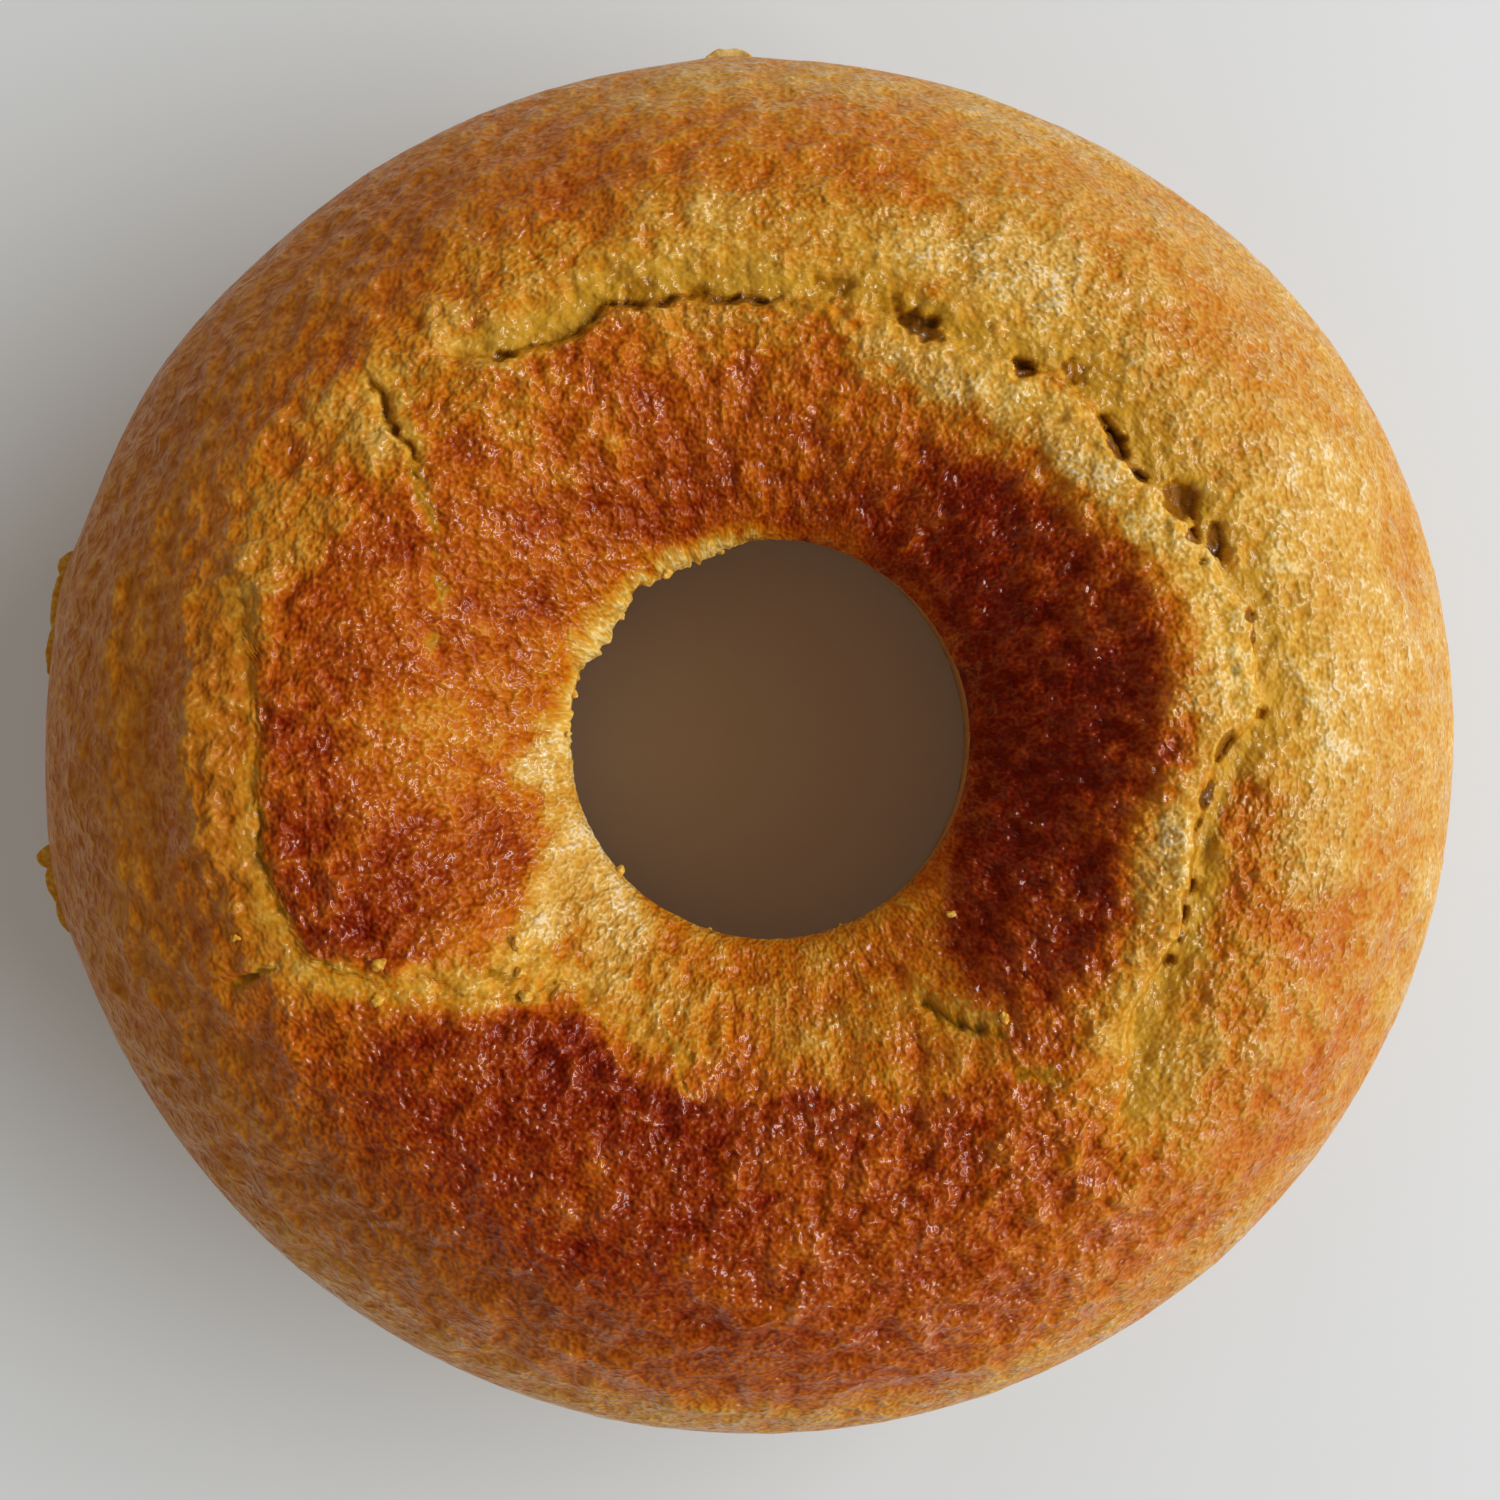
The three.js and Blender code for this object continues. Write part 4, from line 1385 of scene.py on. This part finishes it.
    def surface_at(self, angle: float, radius: float) -> np.ndarray:
        """Finds the point of the finished crust over a place given by angle and radius.

        Args:
            angle: Angle of the place.
            radius: Radius of the place along the smooth section.

        Returns:
            x, y and z of the point.
        """
        at, out = np.array([angle]), np.array([radius])
        plan = self.section.plan(at, out, self.section.outward_share(out))[0] + self.shift
        distance = np.hypot(*(self.points[:, :2] - plan).T)
        distance[self.points[:, 2] < self.section.widest_height] = np.inf
        return self.points[np.argmin(distance)]


@dataclass
class CrustLook:
    """What the material reads from a mesh, one value or one row for each vertex."""

    browning: np.ndarray
    torn: np.ndarray
    # the crumb's brown and painted shade in crevices and pores
    crevice_tone_and_shade: np.ndarray
    olive: np.ndarray
    tin_side: np.ndarray
    pebbly: np.ndarray
    combed: np.ndarray


def write_look(mesh: bpy.types.Mesh, look: CrustLook) -> None:
    """Stores the look on the mesh, for the material.

    Args:
        mesh: The mesh.
        look: The look, with a value for each vertex.
    """
    for name in ("browning", "torn", "crevice_tone_and_shade", "olive", "tin_side", "pebbly"):
        layer = mesh.attributes.new(name, "FLOAT", "POINT")
        layer.data.foreach_set("value", np.clip(getattr(look, name), 0.0, 1.0).astype(np.float32))
    layer = mesh.attributes.new("combed", "FLOAT_VECTOR", "POINT")
    layer.data.foreach_set("vector", (look.combed * MM).astype(np.float32).ravel())


def write_crumb_look(mesh: bpy.types.Mesh, browning: float, pebbly: float = 0.6) -> None:
    """Stores the look of torn crumb on a whole mesh.

    Args:
        mesh: The mesh.
        browning: How brown it is.
        pebbly: How strong its grain is.
    """
    count = len(mesh.vertices)
    places = np.zeros(count * 3)
    mesh.vertices.foreach_get("co", places)
    none, full = np.zeros(count), np.ones(count)
    combed = places.reshape(-1, 3) / MM
    write_look(mesh, CrustLook(browning * full, full, none, none, none, pebbly * full, combed))


@dataclass(frozen=True)
class EdgeFlake:
    """A thin flake of batter that baked over the edge of the tin and stands out from the side.

    It has the angle of its middle, its half width along the side and its reach in millimetres, how far
    its tip curls up and how brown it is.
    """

    angle: float
    half_width: float
    reach: float
    curl: float = 0.4
    browning: float = 0.18
    thickness: float = 0.4
    root: float = 2.5
    height: float = 48.5
    # faces along the side and outwards
    grid: tuple[int, int] = (36, 10)
    bluntness: float = 2.4
    usual_lobe: float = 0.8
    # how far apart on the ragged edge two flakes are drawn, in millimetres for each degree
    apart: float = 3.0

    def build(self, body: CakeBody) -> bpy.types.Object:
        """Bends a small grid to the flake's outline and gives it its thickness.

        Args:
            body: The finished body.

        Returns:
            The flake.
        """
        bpy.ops.object.select_all(action="DESELECT")
        columns, rows = self.grid
        bpy.ops.mesh.primitive_grid_add(x_subdivisions=columns, y_subdivisions=rows, size=2.0)
        flake = bpy.context.object
        flake.name = "edge_flake"
        mesh = flake.data
        flat = np.zeros(len(mesh.vertices) * 3)
        mesh.vertices.foreach_get("co", flat)
        along, across, _ = flat.reshape(-1, 3).T
        across = (across + 1) / 2
        side = body.section.widest_radius
        angle = self.angle + np.degrees(along * self.half_width / side)
        edge = np.zeros((len(along), 3))
        edge[:, 0] = along * self.half_width + self.apart * self.angle
        lobes = self.usual_lobe + FLAKE_LOBES.at(edge)
        outline = np.clip(1 - np.abs(along) ** self.bluntness, 0, 1) * lobes
        start = side + self._body_edge(body, angle) - self.root
        radius = start + across * (self.root + self.reach * outline)
        height = self.height + self.curl * across**2 + FLAKE_WAVES.at(edge + across[:, None])
        plan = body.section.plan(angle, radius, np.ones(len(angle))) + body.shift
        mesh.vertices.foreach_set("co", (np.column_stack([plan, height]) * MM).ravel())
        shell = flake.modifiers.new("thickness", "SOLIDIFY")
        shell.thickness = self.thickness * MM
        shell.offset = 0.0
        bpy.ops.object.modifier_apply(modifier=shell.name)
        write_crumb_look(mesh, self.browning)
        mesh.shade_smooth()
        return flake

    @staticmethod
    def _body_edge(body: CakeBody, angle: np.ndarray) -> np.ndarray:
        """How far the body's own torn edge stands out where the flake starts."""
        return body.section.flake_reach(angle, np.full(len(angle), body.section.widest_height))


EDGE_FLAKES = tuple(EdgeFlake(*row) for row in (
    (168.3, 5.2, 1.2), (165.4, 2.4, 1.4), (172.3, 4.0, 0.8), (-171.2, 2.0, 2.3), (-169.0, 3.8, 1.5),
    (-166.6, 3.2, 0.9), (92.9, 3.8, 1.7, 0.8, 0.0),
))


@dataclass(frozen=True)
class Crumb:
    """A crumb standing on the crust or on the rim, with its half width in millimetres."""

    angle: float
    radius: float
    half_width: float
    # share of its height that is sunk in the crust
    sink: float = 0.3
    browning: float = 0.12
    lump_size: float = 0.9
    lump_height: float = 0.45
    first_seed: int = 50
    # its least and its greatest stretch along each axis
    stretch: tuple[float, float] = (0.75, 1.25)

    def build(self, body: CakeBody, seed: int) -> bpy.types.Object:
        """Makes a lumpy ball, a little flattened, and sets it on the crust.

        Args:
            body: The finished body.
            seed: Number of the crumb, which gives it its own lumps.

        Returns:
            The crumb.
        """
        bpy.ops.object.select_all(action="DESELECT")
        bpy.ops.mesh.primitive_ico_sphere_add(subdivisions=3, radius=1.0)
        crumb = bpy.context.object
        crumb.name = "crumb"
        mesh = crumb.data
        ball = np.zeros(len(mesh.vertices) * 3)
        mesh.vertices.foreach_get("co", ball)
        ball = ball.reshape(-1, 3)
        lumps = 1 + Ripple(self.first_seed + seed, self.lump_size, 2, 0.6, self.lump_height).at(ball)
        least, most = self.stretch
        stretch = least + (most - least) * np.random.default_rng(seed).random(3)
        shape = ball * lumps[:, None] * stretch * self.half_width
        middle = body.surface_at(self.angle, self.radius) + (0, 0, self.half_width * (1 - 2 * self.sink))
        mesh.vertices.foreach_set("co", ((shape + middle) * MM).ravel())
        write_crumb_look(mesh, self.browning)
        mesh.shade_smooth()
        return crumb


CRUMBS = tuple(Crumb(*row) for row in (
    (178.6, 32.3, 0.55), (-138.7, 32.0, 0.75), (-107.5, 32.2, 0.60), (-69.5, 32.3, 0.50),
    (141.0, 31.6, 0.65), (122.0, 31.4, 0.70), (105.0, 31.6, 0.60), (167.0, 31.6, 0.60),
    (-50.4, 53.8, 0.70), (-44.1, 39.1, 0.60), (-160.0, 83.7, 0.60), (-137.5, 51.5, 1.00),
    (-141.5, 49.0, 0.90), (-134.0, 53.0, 0.80), (-150.5, 66.0, 0.90), (-147.0, 69.5, 0.80),
))


def join(pieces: list[bpy.types.Object], name: str) -> bpy.types.Object:
    """Joins pieces into the first of them, under a new name.

    Args:
        pieces: The pieces.
        name: Name of the joined piece.

    Returns:
        The joined piece.
    """
    bpy.ops.object.select_all(action="DESELECT")
    for piece in pieces:
        piece.select_set(True)
    bpy.context.view_layer.objects.active = pieces[0]
    bpy.ops.object.join()
    pieces[0].name = name
    return pieces[0]


# ---------------------------------------------------------------------------------------------------
# Finishes
# ---------------------------------------------------------------------------------------------------


def set_stops(ramp: bpy.types.ColorRamp, stops: Stops) -> None:
    """Gives a colour ramp its stops.

    Args:
        ramp: The ramp.
        stops: Position and colour of each stop, in order.
    """
    while len(ramp.elements) < len(stops):
        ramp.elements.new(0.5)
    for element, (position, colour) in zip(ramp.elements, stops):
        element.position = position
        element.color = (*colour, 1.0)


class NodeSheet:
    """Builds a material's nodes with short calls."""

    def __init__(self, name: str) -> None:
        """Starts an empty material with a shader and an output."""
        self.material = bpy.data.materials.new(name)
        self.material.use_nodes = True
        self.tree = self.material.node_tree
        self.tree.nodes.clear()
        self.output = self.tree.nodes.new("ShaderNodeOutputMaterial")
        self.shader = self.tree.nodes.new("ShaderNodeBsdfPrincipled")
        self.tree.links.new(self.shader.outputs["BSDF"], self.output.inputs["Surface"])

    def put(self, socket: Socket, value: object) -> None:
        """Links a socket to another, or sets its value.

        Args:
            socket: The socket.
            value: The other socket, or the value.
        """
        if isinstance(value, Socket):
            self.tree.links.new(value, socket)
        else:
            socket.default_value = value

    def attribute(self, name: str, output: str = "Fac") -> Socket:
        """Reads a value stored on the mesh.

        Args:
            name: Name of the value.
            output: Whether it is read as a number or as a place.

        Returns:
            The socket that gives the value.
        """
        node = self.tree.nodes.new("ShaderNodeAttribute")
        node.attribute_name = name
        return node.outputs[output]

    def math(self, operation: str, *values: object, clamp: bool = False) -> Socket:
        """Does one sum on numbers or sockets.

        Args:
            operation: Name of the sum.
            values: What it is done on.
            clamp: Whether it is kept from 0 to 1.

        Returns:
            The socket that gives the result.
        """
        node = self.tree.nodes.new("ShaderNodeMath")
        node.operation = operation
        node.use_clamp = clamp
        for socket, value in zip(node.inputs, values):
            self.put(socket, value)
        return node.outputs[0]

    def noise(self, size_mm: float, detail: float, rough: float) -> Socket:
        """Noise from 0 to 1 whose bumps are about size_mm across.

        Args:
            size_mm: Size of the largest bumps.
            detail: How many finer layers there are.
            rough: Strength of each layer as a share of the last.

        Returns:
            The socket that gives the noise.
        """
        node = self.tree.nodes.new("ShaderNodeTexNoise")
        node.inputs["Scale"].default_value = 1.0 / (size_mm * MM)
        node.inputs["Detail"].default_value = detail
        node.inputs["Roughness"].default_value = rough
        self.put(node.inputs["Vector"], self.attribute("combed", "Vector"))
        return node.outputs["Fac"]

    def ramp(self, value: object, stops: Stops) -> Socket:
        """Turns a number into a colour through stops.

        Args:
            value: The number or the socket that gives it.
            stops: Position and colour of each stop.

        Returns:
            The socket that gives the colour.
        """
        node = self.tree.nodes.new("ShaderNodeValToRGB")
        set_stops(node.color_ramp, stops)
        self.put(node.inputs["Fac"], value)
        return node.outputs["Color"]

    def remap(self, value: object, source: tuple[float, float], target: tuple[float, float]) -> Socket:
        """Maps a range of numbers onto another, clamped at both ends.

        Args:
            value: The number or the socket that gives it.
            source: Range that the number is in.
            target: Range that it is mapped onto.

        Returns:
            The socket that gives the result.
        """
        node = self.tree.nodes.new("ShaderNodeMapRange")
        for name, number in zip(("From Min", "From Max", "To Min", "To Max"), (*source, *target)):
            node.inputs[name].default_value = number
        self.put(node.inputs["Value"], value)
        return node.outputs["Result"]

    def mix(self, share: object, first: object, second: object, way: str = "MIX") -> Socket:
        """Mixes two colours by a share.

        Args:
            share: Share of the second colour.
            first: The first colour.
            second: The second colour.
            way: How the second is laid over the first.

        Returns:
            The socket that gives the mix.
        """
        node = self.tree.nodes.new("ShaderNodeMix")
        node.data_type = "RGBA"
        node.blend_type = way
        self.put(node.inputs[0], share)
        for socket, colour in ((node.inputs[6], first), (node.inputs[7], second)):
            self.put(socket, colour if isinstance(colour, Socket) else (*colour, 1.0))
        return node.outputs[2]

    def bump(self, height: object, depth_mm: float) -> Socket:
        """Adds fine relief to the shading, depth_mm deep.

        Args:
            height: The socket that gives the relief.
            depth_mm: Its depth.

        Returns:
            The socket that gives the normal.
        """
        node = self.tree.nodes.new("ShaderNodeBump")
        node.inputs["Strength"].default_value = 1.0
        node.inputs["Distance"].default_value = depth_mm * MM
        self.put(node.inputs["Height"], height)
        return node.outputs["Normal"]


@dataclass(frozen=True)
class BakedCrust:
    """Finish of the baked cornmeal: oily brown crust, torn yellow crumb and tan moulded sides."""

    name: str = "baked_cornmeal"
    # colour by how brown the crust is
    crust_stops: Stops = (
        (0.00, (0.88, 0.66, 0.38)),
        (0.05, (0.81, 0.505, 0.135)),
        (0.10, (0.75, 0.43, 0.09)),
        (0.20, (0.67, 0.335, 0.045)),
        (0.32, (0.62, 0.235, 0.012)),
        (0.46, (0.58, 0.150, 0.004)),
        (0.60, (0.46, 0.086, 0.002)),
        (0.74, (0.33, 0.042, 0.0012)),
        (0.88, (0.23, 0.015, 0.0006)),
        (1.00, (0.15, 0.006, 0.0003)),
    )
    # colour of the moulded sides from the hollows of the grain to its tops: their tan, darker in the hollows
    # and paler on the tops as painted shade and light
    tin_tone_and_shade_stops: Stops = (
        (0.30, (0.35, 0.115, 0.005)),
        (0.50, (0.45, 0.175, 0.009)),
        (0.72, (0.56, 0.26, 0.030)),
    )
    crumb_tint: Colour = (1.0, 0.925, 0.52)
    trough_colour: Colour = (0.62, 0.32, 0.022)
    # colour by how deep the crevice is: the crumb's own brown, and painted shade that darkens as it deepens
    crevice_tone_and_shade_stops: Stops = (
        (0.25, (0.50, 0.22, 0.005)),
        (0.70, (0.37, 0.130, 0.002)),
        (1.00, (0.15, 0.045, 0.001)),
    )
    # sizes of the grain, of its finest part and of the clusters of glints, in millimetres
    grain_size: float = 2.1
    fine_size: float = 0.7
    cluster_size: float = 6.5
    noise_rough: float = 0.6
    # levels of the grain and of its finest part from the hollows to the tops
    grain_levels: tuple[float, float] = (0.25, 0.75)
    fine_levels: tuple[float, float] = (0.2, 0.8)
    # how far the grain and its finest part shift the browning, paler on their tops and darker in their
    # hollows as painted light and shade, and the grain the edge of a crevice
    grain_tone_and_shade: float = 0.08
    fine_tone_and_shade: float = 0.12
    crevice_rag: float = 0.12
    crevice_edge: tuple[float, float] = (0.20, 0.38)
    crevice_cover: float = 0.95
    # depth of the relief in the crust's shading, and what the finest part and torn crumb do to it
    crust_depth: float = 1.15
    crust_fine: float = 0.3
    torn_softness: float = -0.5
    # roughness of the smooth crust, and what full grain and torn crumb add to it
    roughness: float = 0.68
    pebbly_roughness: float = -0.30
    torn_roughness: float = 0.1
    sheen: float = 0.18
    sheen_colour: Colour = (1.0, 0.58, 0.34)
    # the film of oil: what it is like, how thick it is on smooth and on pebbly crust, and less on tan
    oil_roughness: float = 0.22
    oil_ior: float = 1.62
    oil_on_smooth: float = 0.65
    oil_on_pebbly: float = 0.95
    smoothest: float = 0.55
    oil_off_tan: float = 0.6
    # levels of the noise between which the grain's tops and the clusters get wet, and the least wetness
    wet_tops: tuple[float, float] = (0.40, 0.52)
    wet_clusters: tuple[float, float] = (0.42, 0.60)
    least_wet: float = 0.25
    # depth of the relief in the film, and the shares of it on smooth crust, by grain and by fine grain
    oil_depth: float = 2.0
    oil_smooth: float = 0.6
    oil_pebbly: float = 0.4
    oil_fine: float = 0.15

    def material(self) -> bpy.types.Material:
        """Builds the material: grainy crust with a warm sheen, under a film of oil that glints.

        Returns:
            The material.
        """
        sheet = NodeSheet(self.name)
        sockets = sheet.shader.inputs
        torn = sheet.attribute("torn")
        tin = sheet.attribute("tin_side")
        pebbly = sheet.attribute("pebbly")
        grain = sheet.noise(self.grain_size, 1.0, self.noise_rough)
        fine = sheet.noise(self.fine_size, 0.0, self.noise_rough)
        sheet.put(sockets["Base Color"], self._colour(sheet, torn, tin, grain, fine))
        softness = sheet.math("MULTIPLY_ADD", torn, self.torn_softness, 1.0)
        height = sheet.math("MULTIPLY_ADD", fine, self.crust_fine, grain)
        height = sheet.math("MULTIPLY", height, sheet.math("MULTIPLY", pebbly, softness))
        sheet.put(sockets["Normal"], sheet.bump(height, self.crust_depth))
        dull = sheet.math("MULTIPLY_ADD", pebbly, self.pebbly_roughness, self.roughness)
        sheet.put(sockets["Roughness"], sheet.math("MULTIPLY_ADD", torn, self.torn_roughness, dull))
        sheet.put(sockets["Specular IOR Level"], self.sheen)
        sheet.put(sockets["Specular Tint"], (*self.sheen_colour, 1.0))
        self._oil(sheet, grain, fine, pebbly, tin)
        return sheet.material

    def _oil(self, sheet: NodeSheet, grain: Socket, fine: Socket, pebbly: Socket, tin: Socket) -> None:
        """Thin film of oil on the tops of the grain, thicker in clusters.

        Args:
            sheet: The material's nodes.
            grain: The grain's noise.
            fine: Noise of its finest part.
            pebbly: How strong the grain is.
            tin: Share of the tan of the sides.
        """
        sockets = sheet.shader.inputs
        clusters = sheet.noise(self.cluster_size, 1.0, self.noise_rough)
        clusters = sheet.remap(clusters, self.wet_clusters, (self.least_wet, 1.0))
        wet = sheet.math("MULTIPLY", sheet.remap(grain, self.wet_tops, (0.0, 1.0)), clusters)
        film = sheet.remap(pebbly, (self.smoothest, 1.0), (self.oil_on_smooth, self.oil_on_pebbly))
        film = sheet.math("SUBTRACT", film, sheet.math("MULTIPLY", tin, self.oil_off_tan), clamp=True)
        sheet.put(sockets["Coat Weight"], sheet.math("MULTIPLY", wet, film))
        sheet.put(sockets["Coat Roughness"], self.oil_roughness)
        sheet.put(sockets["Coat IOR"], self.oil_ior)
        share = sheet.math("MULTIPLY_ADD", pebbly, self.oil_pebbly, self.oil_smooth)
        height = sheet.math("MULTIPLY_ADD", fine, self.oil_fine, sheet.math("MULTIPLY", grain, share))
        sheet.put(sockets["Coat Normal"], sheet.bump(height, self.oil_depth))

    def _colour(self, sheet: NodeSheet, torn: Socket, tin: Socket, grain: Socket, fine: Socket) -> Socket:
        """Crust by how brown it is, torn crumb in the cracks, tan sides, and painted shade in the crevices
        and in the hollows of the grain.

        Args:
            sheet: The material's nodes.
            torn: Share of torn crumb.
            tin: Share of the tan of the sides.
            grain: The grain's noise.
            fine: Noise of its finest part.

        Returns:
            The socket that gives the colour.
        """
        # painted light on the tops of the grain and painted shade in its hollows, over its uneven tone
        coarse_tone_and_shade = sheet.remap(grain, self.grain_levels, (self.grain_tone_and_shade, -self.grain_tone_and_shade))
        tone_and_shade = sheet.remap(fine, self.fine_levels, (self.fine_tone_and_shade, -self.fine_tone_and_shade))
        tone_and_shade = sheet.math("ADD", coarse_tone_and_shade, tone_and_shade)
        crust = sheet.ramp(sheet.math("ADD", sheet.attribute("browning"), tone_and_shade), self.crust_stops)
        crust = sheet.mix(torn, crust, self.crumb_tint, "MULTIPLY")
        crust = sheet.mix(sheet.attribute("olive"), crust, self.trough_colour)
        # the tan of the sides, with painted shade in the hollows of the grain and painted light on its tops
        mixed = sheet.mix(tin, crust, sheet.ramp(grain, self.tin_tone_and_shade_stops))
        # painted shade in crevices and pores, over the crumb's own brown
        crevice_tone_and_shade = sheet.attribute("crevice_tone_and_shade")
        rag = sheet.remap(grain, self.grain_levels, (-self.crevice_rag, self.crevice_rag))
        cover = sheet.remap(sheet.math("ADD", crevice_tone_and_shade, rag), self.crevice_edge, (0.0, self.crevice_cover))
        return sheet.mix(cover, mixed, sheet.ramp(crevice_tone_and_shade, self.crevice_tone_and_shade_stops))


@dataclass(frozen=True)
class PlainFloor:
    """Finish of the plain pale table."""

    name: str = "plain_pale_floor"
    colour: Colour = (0.82, 0.835, 0.83)
    roughness: float = 0.6

    def material(self) -> bpy.types.Material:
        """Builds the material.

        Returns:
            The material.
        """
        sheet = NodeSheet(self.name)
        sheet.put(sheet.shader.inputs["Base Color"], (*self.colour, 1.0))
        sheet.put(sheet.shader.inputs["Roughness"], self.roughness)
        return sheet.material


# ---------------------------------------------------------------------------------------------------
# Studio
# ---------------------------------------------------------------------------------------------------


@dataclass
class Studio:
    """Plain floor, a broad soft window light from the right, a weak fill and the camera."""

    # where the hole is in plan, how far from over it the camera hangs and how far it leans
    hole_axis: tuple[float, float] = (1.7, 0.8)
    camera_offset: tuple[float, float] = (-11.1, -1.6)
    camera_height: float = 300.7
    camera_tilt: float = 1.8
    view_angle: float = 53.0
    nearest_view: float = 10.0
    floor_size: float = 3000.0
    floor_gap: float = 0.05
    key_place: tuple[float, float, float] = (1700.0, 80.0, 1290.0)
    key_size: tuple[float, float] = (3000.0, 500.0)
    key_power: float = 47.5
    key_colour: Colour = (0.975, 1.02, 1.07)
    # how bright the room is at the horizon, half way up and overhead, after the share of the way up
    room: tuple[tuple[float, float], ...] = ((0.0, 0.55), (0.5, 0.50), (0.95, 0.13))
    room_colour: Colour = (1.0, 0.925, 0.84)
    room_in_gloss: float = 0.06

    def build(self) -> None:
        """Sets up the floor, the lights and the camera."""
        self._floor()
        self._key_light()
        self._fill_light()
        self._camera()
        bpy.context.scene.view_settings.view_transform = "Standard"

    def _floor(self) -> None:
        """A plain floor, just under the cake's base."""
        bpy.ops.object.select_all(action="DESELECT")
        bpy.ops.mesh.primitive_plane_add(size=self.floor_size * MM, location=(0, 0, -self.floor_gap * MM))
        floor = bpy.context.object
        floor.name = "floor"
        bpy.ops.object.transform_apply(location=True, rotation=True, scale=True)
        floor.data.materials.append(PlainFloor().material())

    def _key_light(self) -> None:
        """The broad window light."""
        lamp = bpy.data.lights.new("window", "AREA")
        lamp.shape = "RECTANGLE"
        lamp.size, lamp.size_y = (side * MM for side in self.key_size)
        lamp.energy = self.key_power
        lamp.color = self.key_colour
        window = bpy.data.objects.new("window", lamp)
        window.location = Vector(self.key_place) * MM
        window.rotation_euler = (-Vector(self.key_place)).to_track_quat("-Z", "Y").to_euler()
        bpy.context.scene.collection.objects.link(window)

    def _fill_light(self) -> None:
        """Weak light from the room all round, which is darker overhead and hardly shows in glints."""
        world = bpy.data.worlds.new("room")
        world.use_nodes = True
        nodes, links = world.node_tree.nodes, world.node_tree.links
        direction = nodes.new("ShaderNodeTexCoord")
        parts = nodes.new("ShaderNodeSeparateXYZ")
        ramp = nodes.new("ShaderNodeValToRGB")
        tint = np.array(self.room_colour)
        set_stops(ramp.color_ramp, tuple((share, tuple(grey * tint)) for share, grey in self.room))
        links.new(direction.outputs["Generated"], parts.inputs["Vector"])
        links.new(parts.outputs["Z"], ramp.inputs["Fac"])
        links.new(ramp.outputs["Color"], nodes["Background"].inputs["Color"])
        ray = nodes.new("ShaderNodeLightPath")
        dimmer = nodes.new("ShaderNodeMapRange")
        dimmer.inputs["To Min"].default_value = 1.0
        dimmer.inputs["To Max"].default_value = self.room_in_gloss
        links.new(ray.outputs["Is Glossy Ray"], dimmer.inputs["Value"])
        links.new(dimmer.outputs["Result"], nodes["Background"].inputs["Strength"])
        bpy.context.scene.world = world

    def _camera(self) -> None:
        """The camera, over the cake and nearly straight down."""
        data = bpy.data.cameras.new("overhead")
        data.sensor_fit = "HORIZONTAL"
        data.angle = math.radians(self.view_angle)
        data.clip_start = self.nearest_view * MM
        camera = bpy.data.objects.new("overhead", data)
        x, y = (axis + offset for axis, offset in zip(self.hole_axis, self.camera_offset))
        camera.location = Vector((x, y, self.camera_height)) * MM
        camera.rotation_euler = (0.0, -math.radians(self.camera_tilt), 0.0)
        bpy.context.scene.collection.objects.link(camera)
        bpy.context.scene.camera = camera


def dress(piece: bpy.types.Object, material: bpy.types.Material) -> None:
    """Gives a piece its one material and hands it to the frame.

    Args:
        piece: The finished mesh object.
        material: The finish it gets.
    """
    piece.data.materials.clear()
    piece.data.materials.append(material)
    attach(piece, "root")
    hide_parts(CAKE_NODE)
    LOG.info("%s: %d vertices, %d faces", piece.name, len(piece.data.vertices), len(piece.data.polygons))


def main() -> None:
    """Builds the studio and the cake."""
    logging.basicConfig(level=logging.INFO, format="%(name)s: %(message)s")
    Studio().build()
    crust = BakedCrust().material()
    body = CakeBody()
    dress(body.build(), crust)
    dress(join([flake.build(body) for flake in EDGE_FLAKES], "edge_flakes"), crust)
    dress(join([crumb.build(body, seed) for seed, crumb in enumerate(CRUMBS)], "crumbs_on_crust"), crust)


if __name__ == "__main__":
    main()
